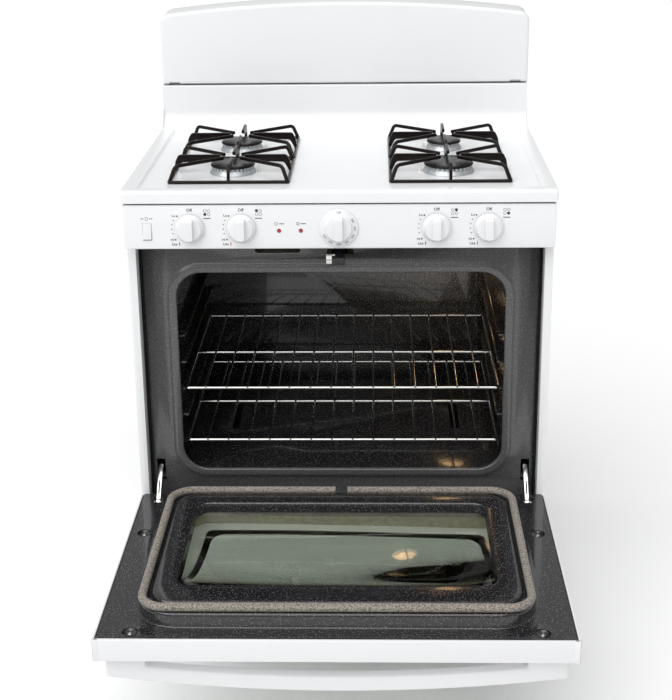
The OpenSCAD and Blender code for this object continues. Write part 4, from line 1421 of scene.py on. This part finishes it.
@dataclass
class Hardware:
    """The hinge arms, the latch and the drawer."""

    arm_x: float = 345.0
    latch_z: float = 776.0
    latch_y: float = 76.0

    def build(self) -> None:
        """Builds the pieces."""
        arms = eased("hinge_arms", 0.7, 2, finish="chrome_wire")
        slots = [((x - 1.3, -34, -1), (x + 1.3, -7, 33)) for x in (-self.arm_x, self.arm_x)]
        cut(arms, slots, DOOR)
        self._latch()
        eased("drawer_front", 2.6, 4, on_outline("drawer_front"))
        eased("drawer_tray", 0.4)

    def _latch(self) -> None:
        """Builds the latch: a dark arm on its pin and a plated hook."""
        z = self.latch_z
        arm = Form()
        arm.box((-9, -1, z), (9, self.latch_y - 12.6, z + 3))
        arm.box((-14, -1, z), (-9.2, 3, z + 3))
        arm.lathe([(3.4, z), (12, z), (12, z + 3), (3.4, z + 3), (3.4, z)], 40, (0, self.latch_y, 0))
        arm.ease(0.4, 2)
        arm.make("door_latch_arm", "dark_steel", "latch", CABINET, slot="chrome_wire")
        hook = Form()
        hook.box((-24, -4.9, z - 4), (-14, -2.6, z + 12))
        hook.box((-24, -4.9, z - 6), (-14, 1.5, z - 3.8))
        hook.box((-24, -4.9, z + 9.6), (-8, 3, z + 11.8))
        hook.box((-24, -4.9, z + 0.2), (-14.2, 3, z + 2.8))
        hook.ease(0.6, 2)
        hook.make("door_latch_hook", "chrome_wire", "latch", CABINET, ("door_latch",))


# ---- studio ------------------------------------------------------------------


@dataclass
class Studio:
    """The floor, the light and the camera."""

    eye: tuple[float, float, float] = (0.0645, -2.4626, 1.5171)
    yaw: float = 1.706
    pitch: float = 18.446
    roll: float = -0.701
    lens: float = 72.84
    shift: float = -0.08
    reach: float = 60.0

    def build(self) -> None:
        """Sets up the studio."""
        floor = Form()
        floor.oblong((-self.reach, -self.reach), (self.reach, self.reach), 0.0)
        mesh = floor.mesh("floor")
        mesh.materials.append(Finish("studio_floor", (0.93, 0.93, 0.93), 0.9).material())
        add_object("floor", mesh)
        self._light()
        self._camera()

    def _light(self) -> None:
        """Lights the range softly from all round, with a warm lamp in the oven."""
        world = bpy.data.worlds.new("studio")
        world.use_nodes = True
        sky = world.node_tree.nodes["Background"]
        sky.inputs["Color"].default_value = (1.0, 1.0, 1.0, 1.0)
        sky.inputs["Strength"].default_value = 0.42
        bpy.context.scene.world = world
        sun = bpy.data.lights.new("key", "SUN")
        sun.energy, sun.angle = 2.6, math.radians(75)
        key = add_object("key", sun)
        key.rotation_euler = (math.radians(30), 0, math.radians(-28))
        self._softbox("front_left", (-2.4, -3.0, 2.4), (60, 0, -38), 1.4, 6.0)
        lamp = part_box("oven_lamp")[0]
        glow = bpy.data.lights.new("oven_glow", "POINT")
        glow.energy, glow.color, glow.shadow_soft_size = 1.0, (1.0, 0.72, 0.42), 0.03
        holder = add_object("oven_glow", glow)
        holder.location = (lamp.x + 0.02, lamp.y - 0.06, lamp.z + 0.03)
        holder.visible_glossy = False

    def _softbox(
        self, name: str, at: Sequence[float], turn: Sequence[float], size: float, energy: float
    ) -> None:
        """Hangs a square softbox.

        Args:
            name: Its name.
            at: Where it hangs.
            turn: How it is turned, in degrees.
            size: Its side.
            energy: Its power, in watts.
        """
        light = bpy.data.lights.new(name, "AREA")
        light.size, light.energy = size, energy
        holder = add_object(name, light)
        holder.location = at
        holder.rotation_euler = [math.radians(a) for a in turn]

    def _camera(self) -> None:
        """Sets the camera."""
        data = bpy.data.cameras.new("camera")
        data.lens, data.sensor_width, data.shift_y = self.lens, 36.0, self.shift
        data.clip_start, data.clip_end = 0.05, 60.0
        camera = add_object("camera", data)
        camera.matrix_world = Matrix.Translation(self.eye)
        for degrees, axis in ((self.yaw, "Z"), (90 - self.pitch, "X"), (self.roll, "Z")):
            camera.matrix_world @= Matrix.Rotation(math.radians(degrees), 4, axis)
        bpy.context.scene.camera = camera
        bpy.context.scene.view_settings.view_transform = "Standard"


def main() -> None:
    """Builds the range and its studio."""
    logging.basicConfig(level=logging.INFO, format="%(message)s")
    burners = [
        ("front_left", -197.5, 124.0, 40.5), ("rear_left", -197.5, 315.0, 40.0),
        ("front_right", 197.5, 124.0, 45.0), ("rear_right", 197.5, 315.0, 33.0),
    ]
    Cooktop().build()
    Backguard().build()
    for i, (name, x, y, radius) in enumerate(burners):
        Burner(x, y, radius, name).build(i == 0)
        Grate(x, y, f"grate_{name}").build()
    ControlPanel().build()
    Cabinet().build()
    Oven().build()
    for node in ("oven_rack_upper", "oven_rack_lower"):
        Rack(node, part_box(node)[0].z / MM + Rack.bar).build()
    Door().build()
    Hardware().build()
    Studio().build()


if __name__ == "__main__":
    main()
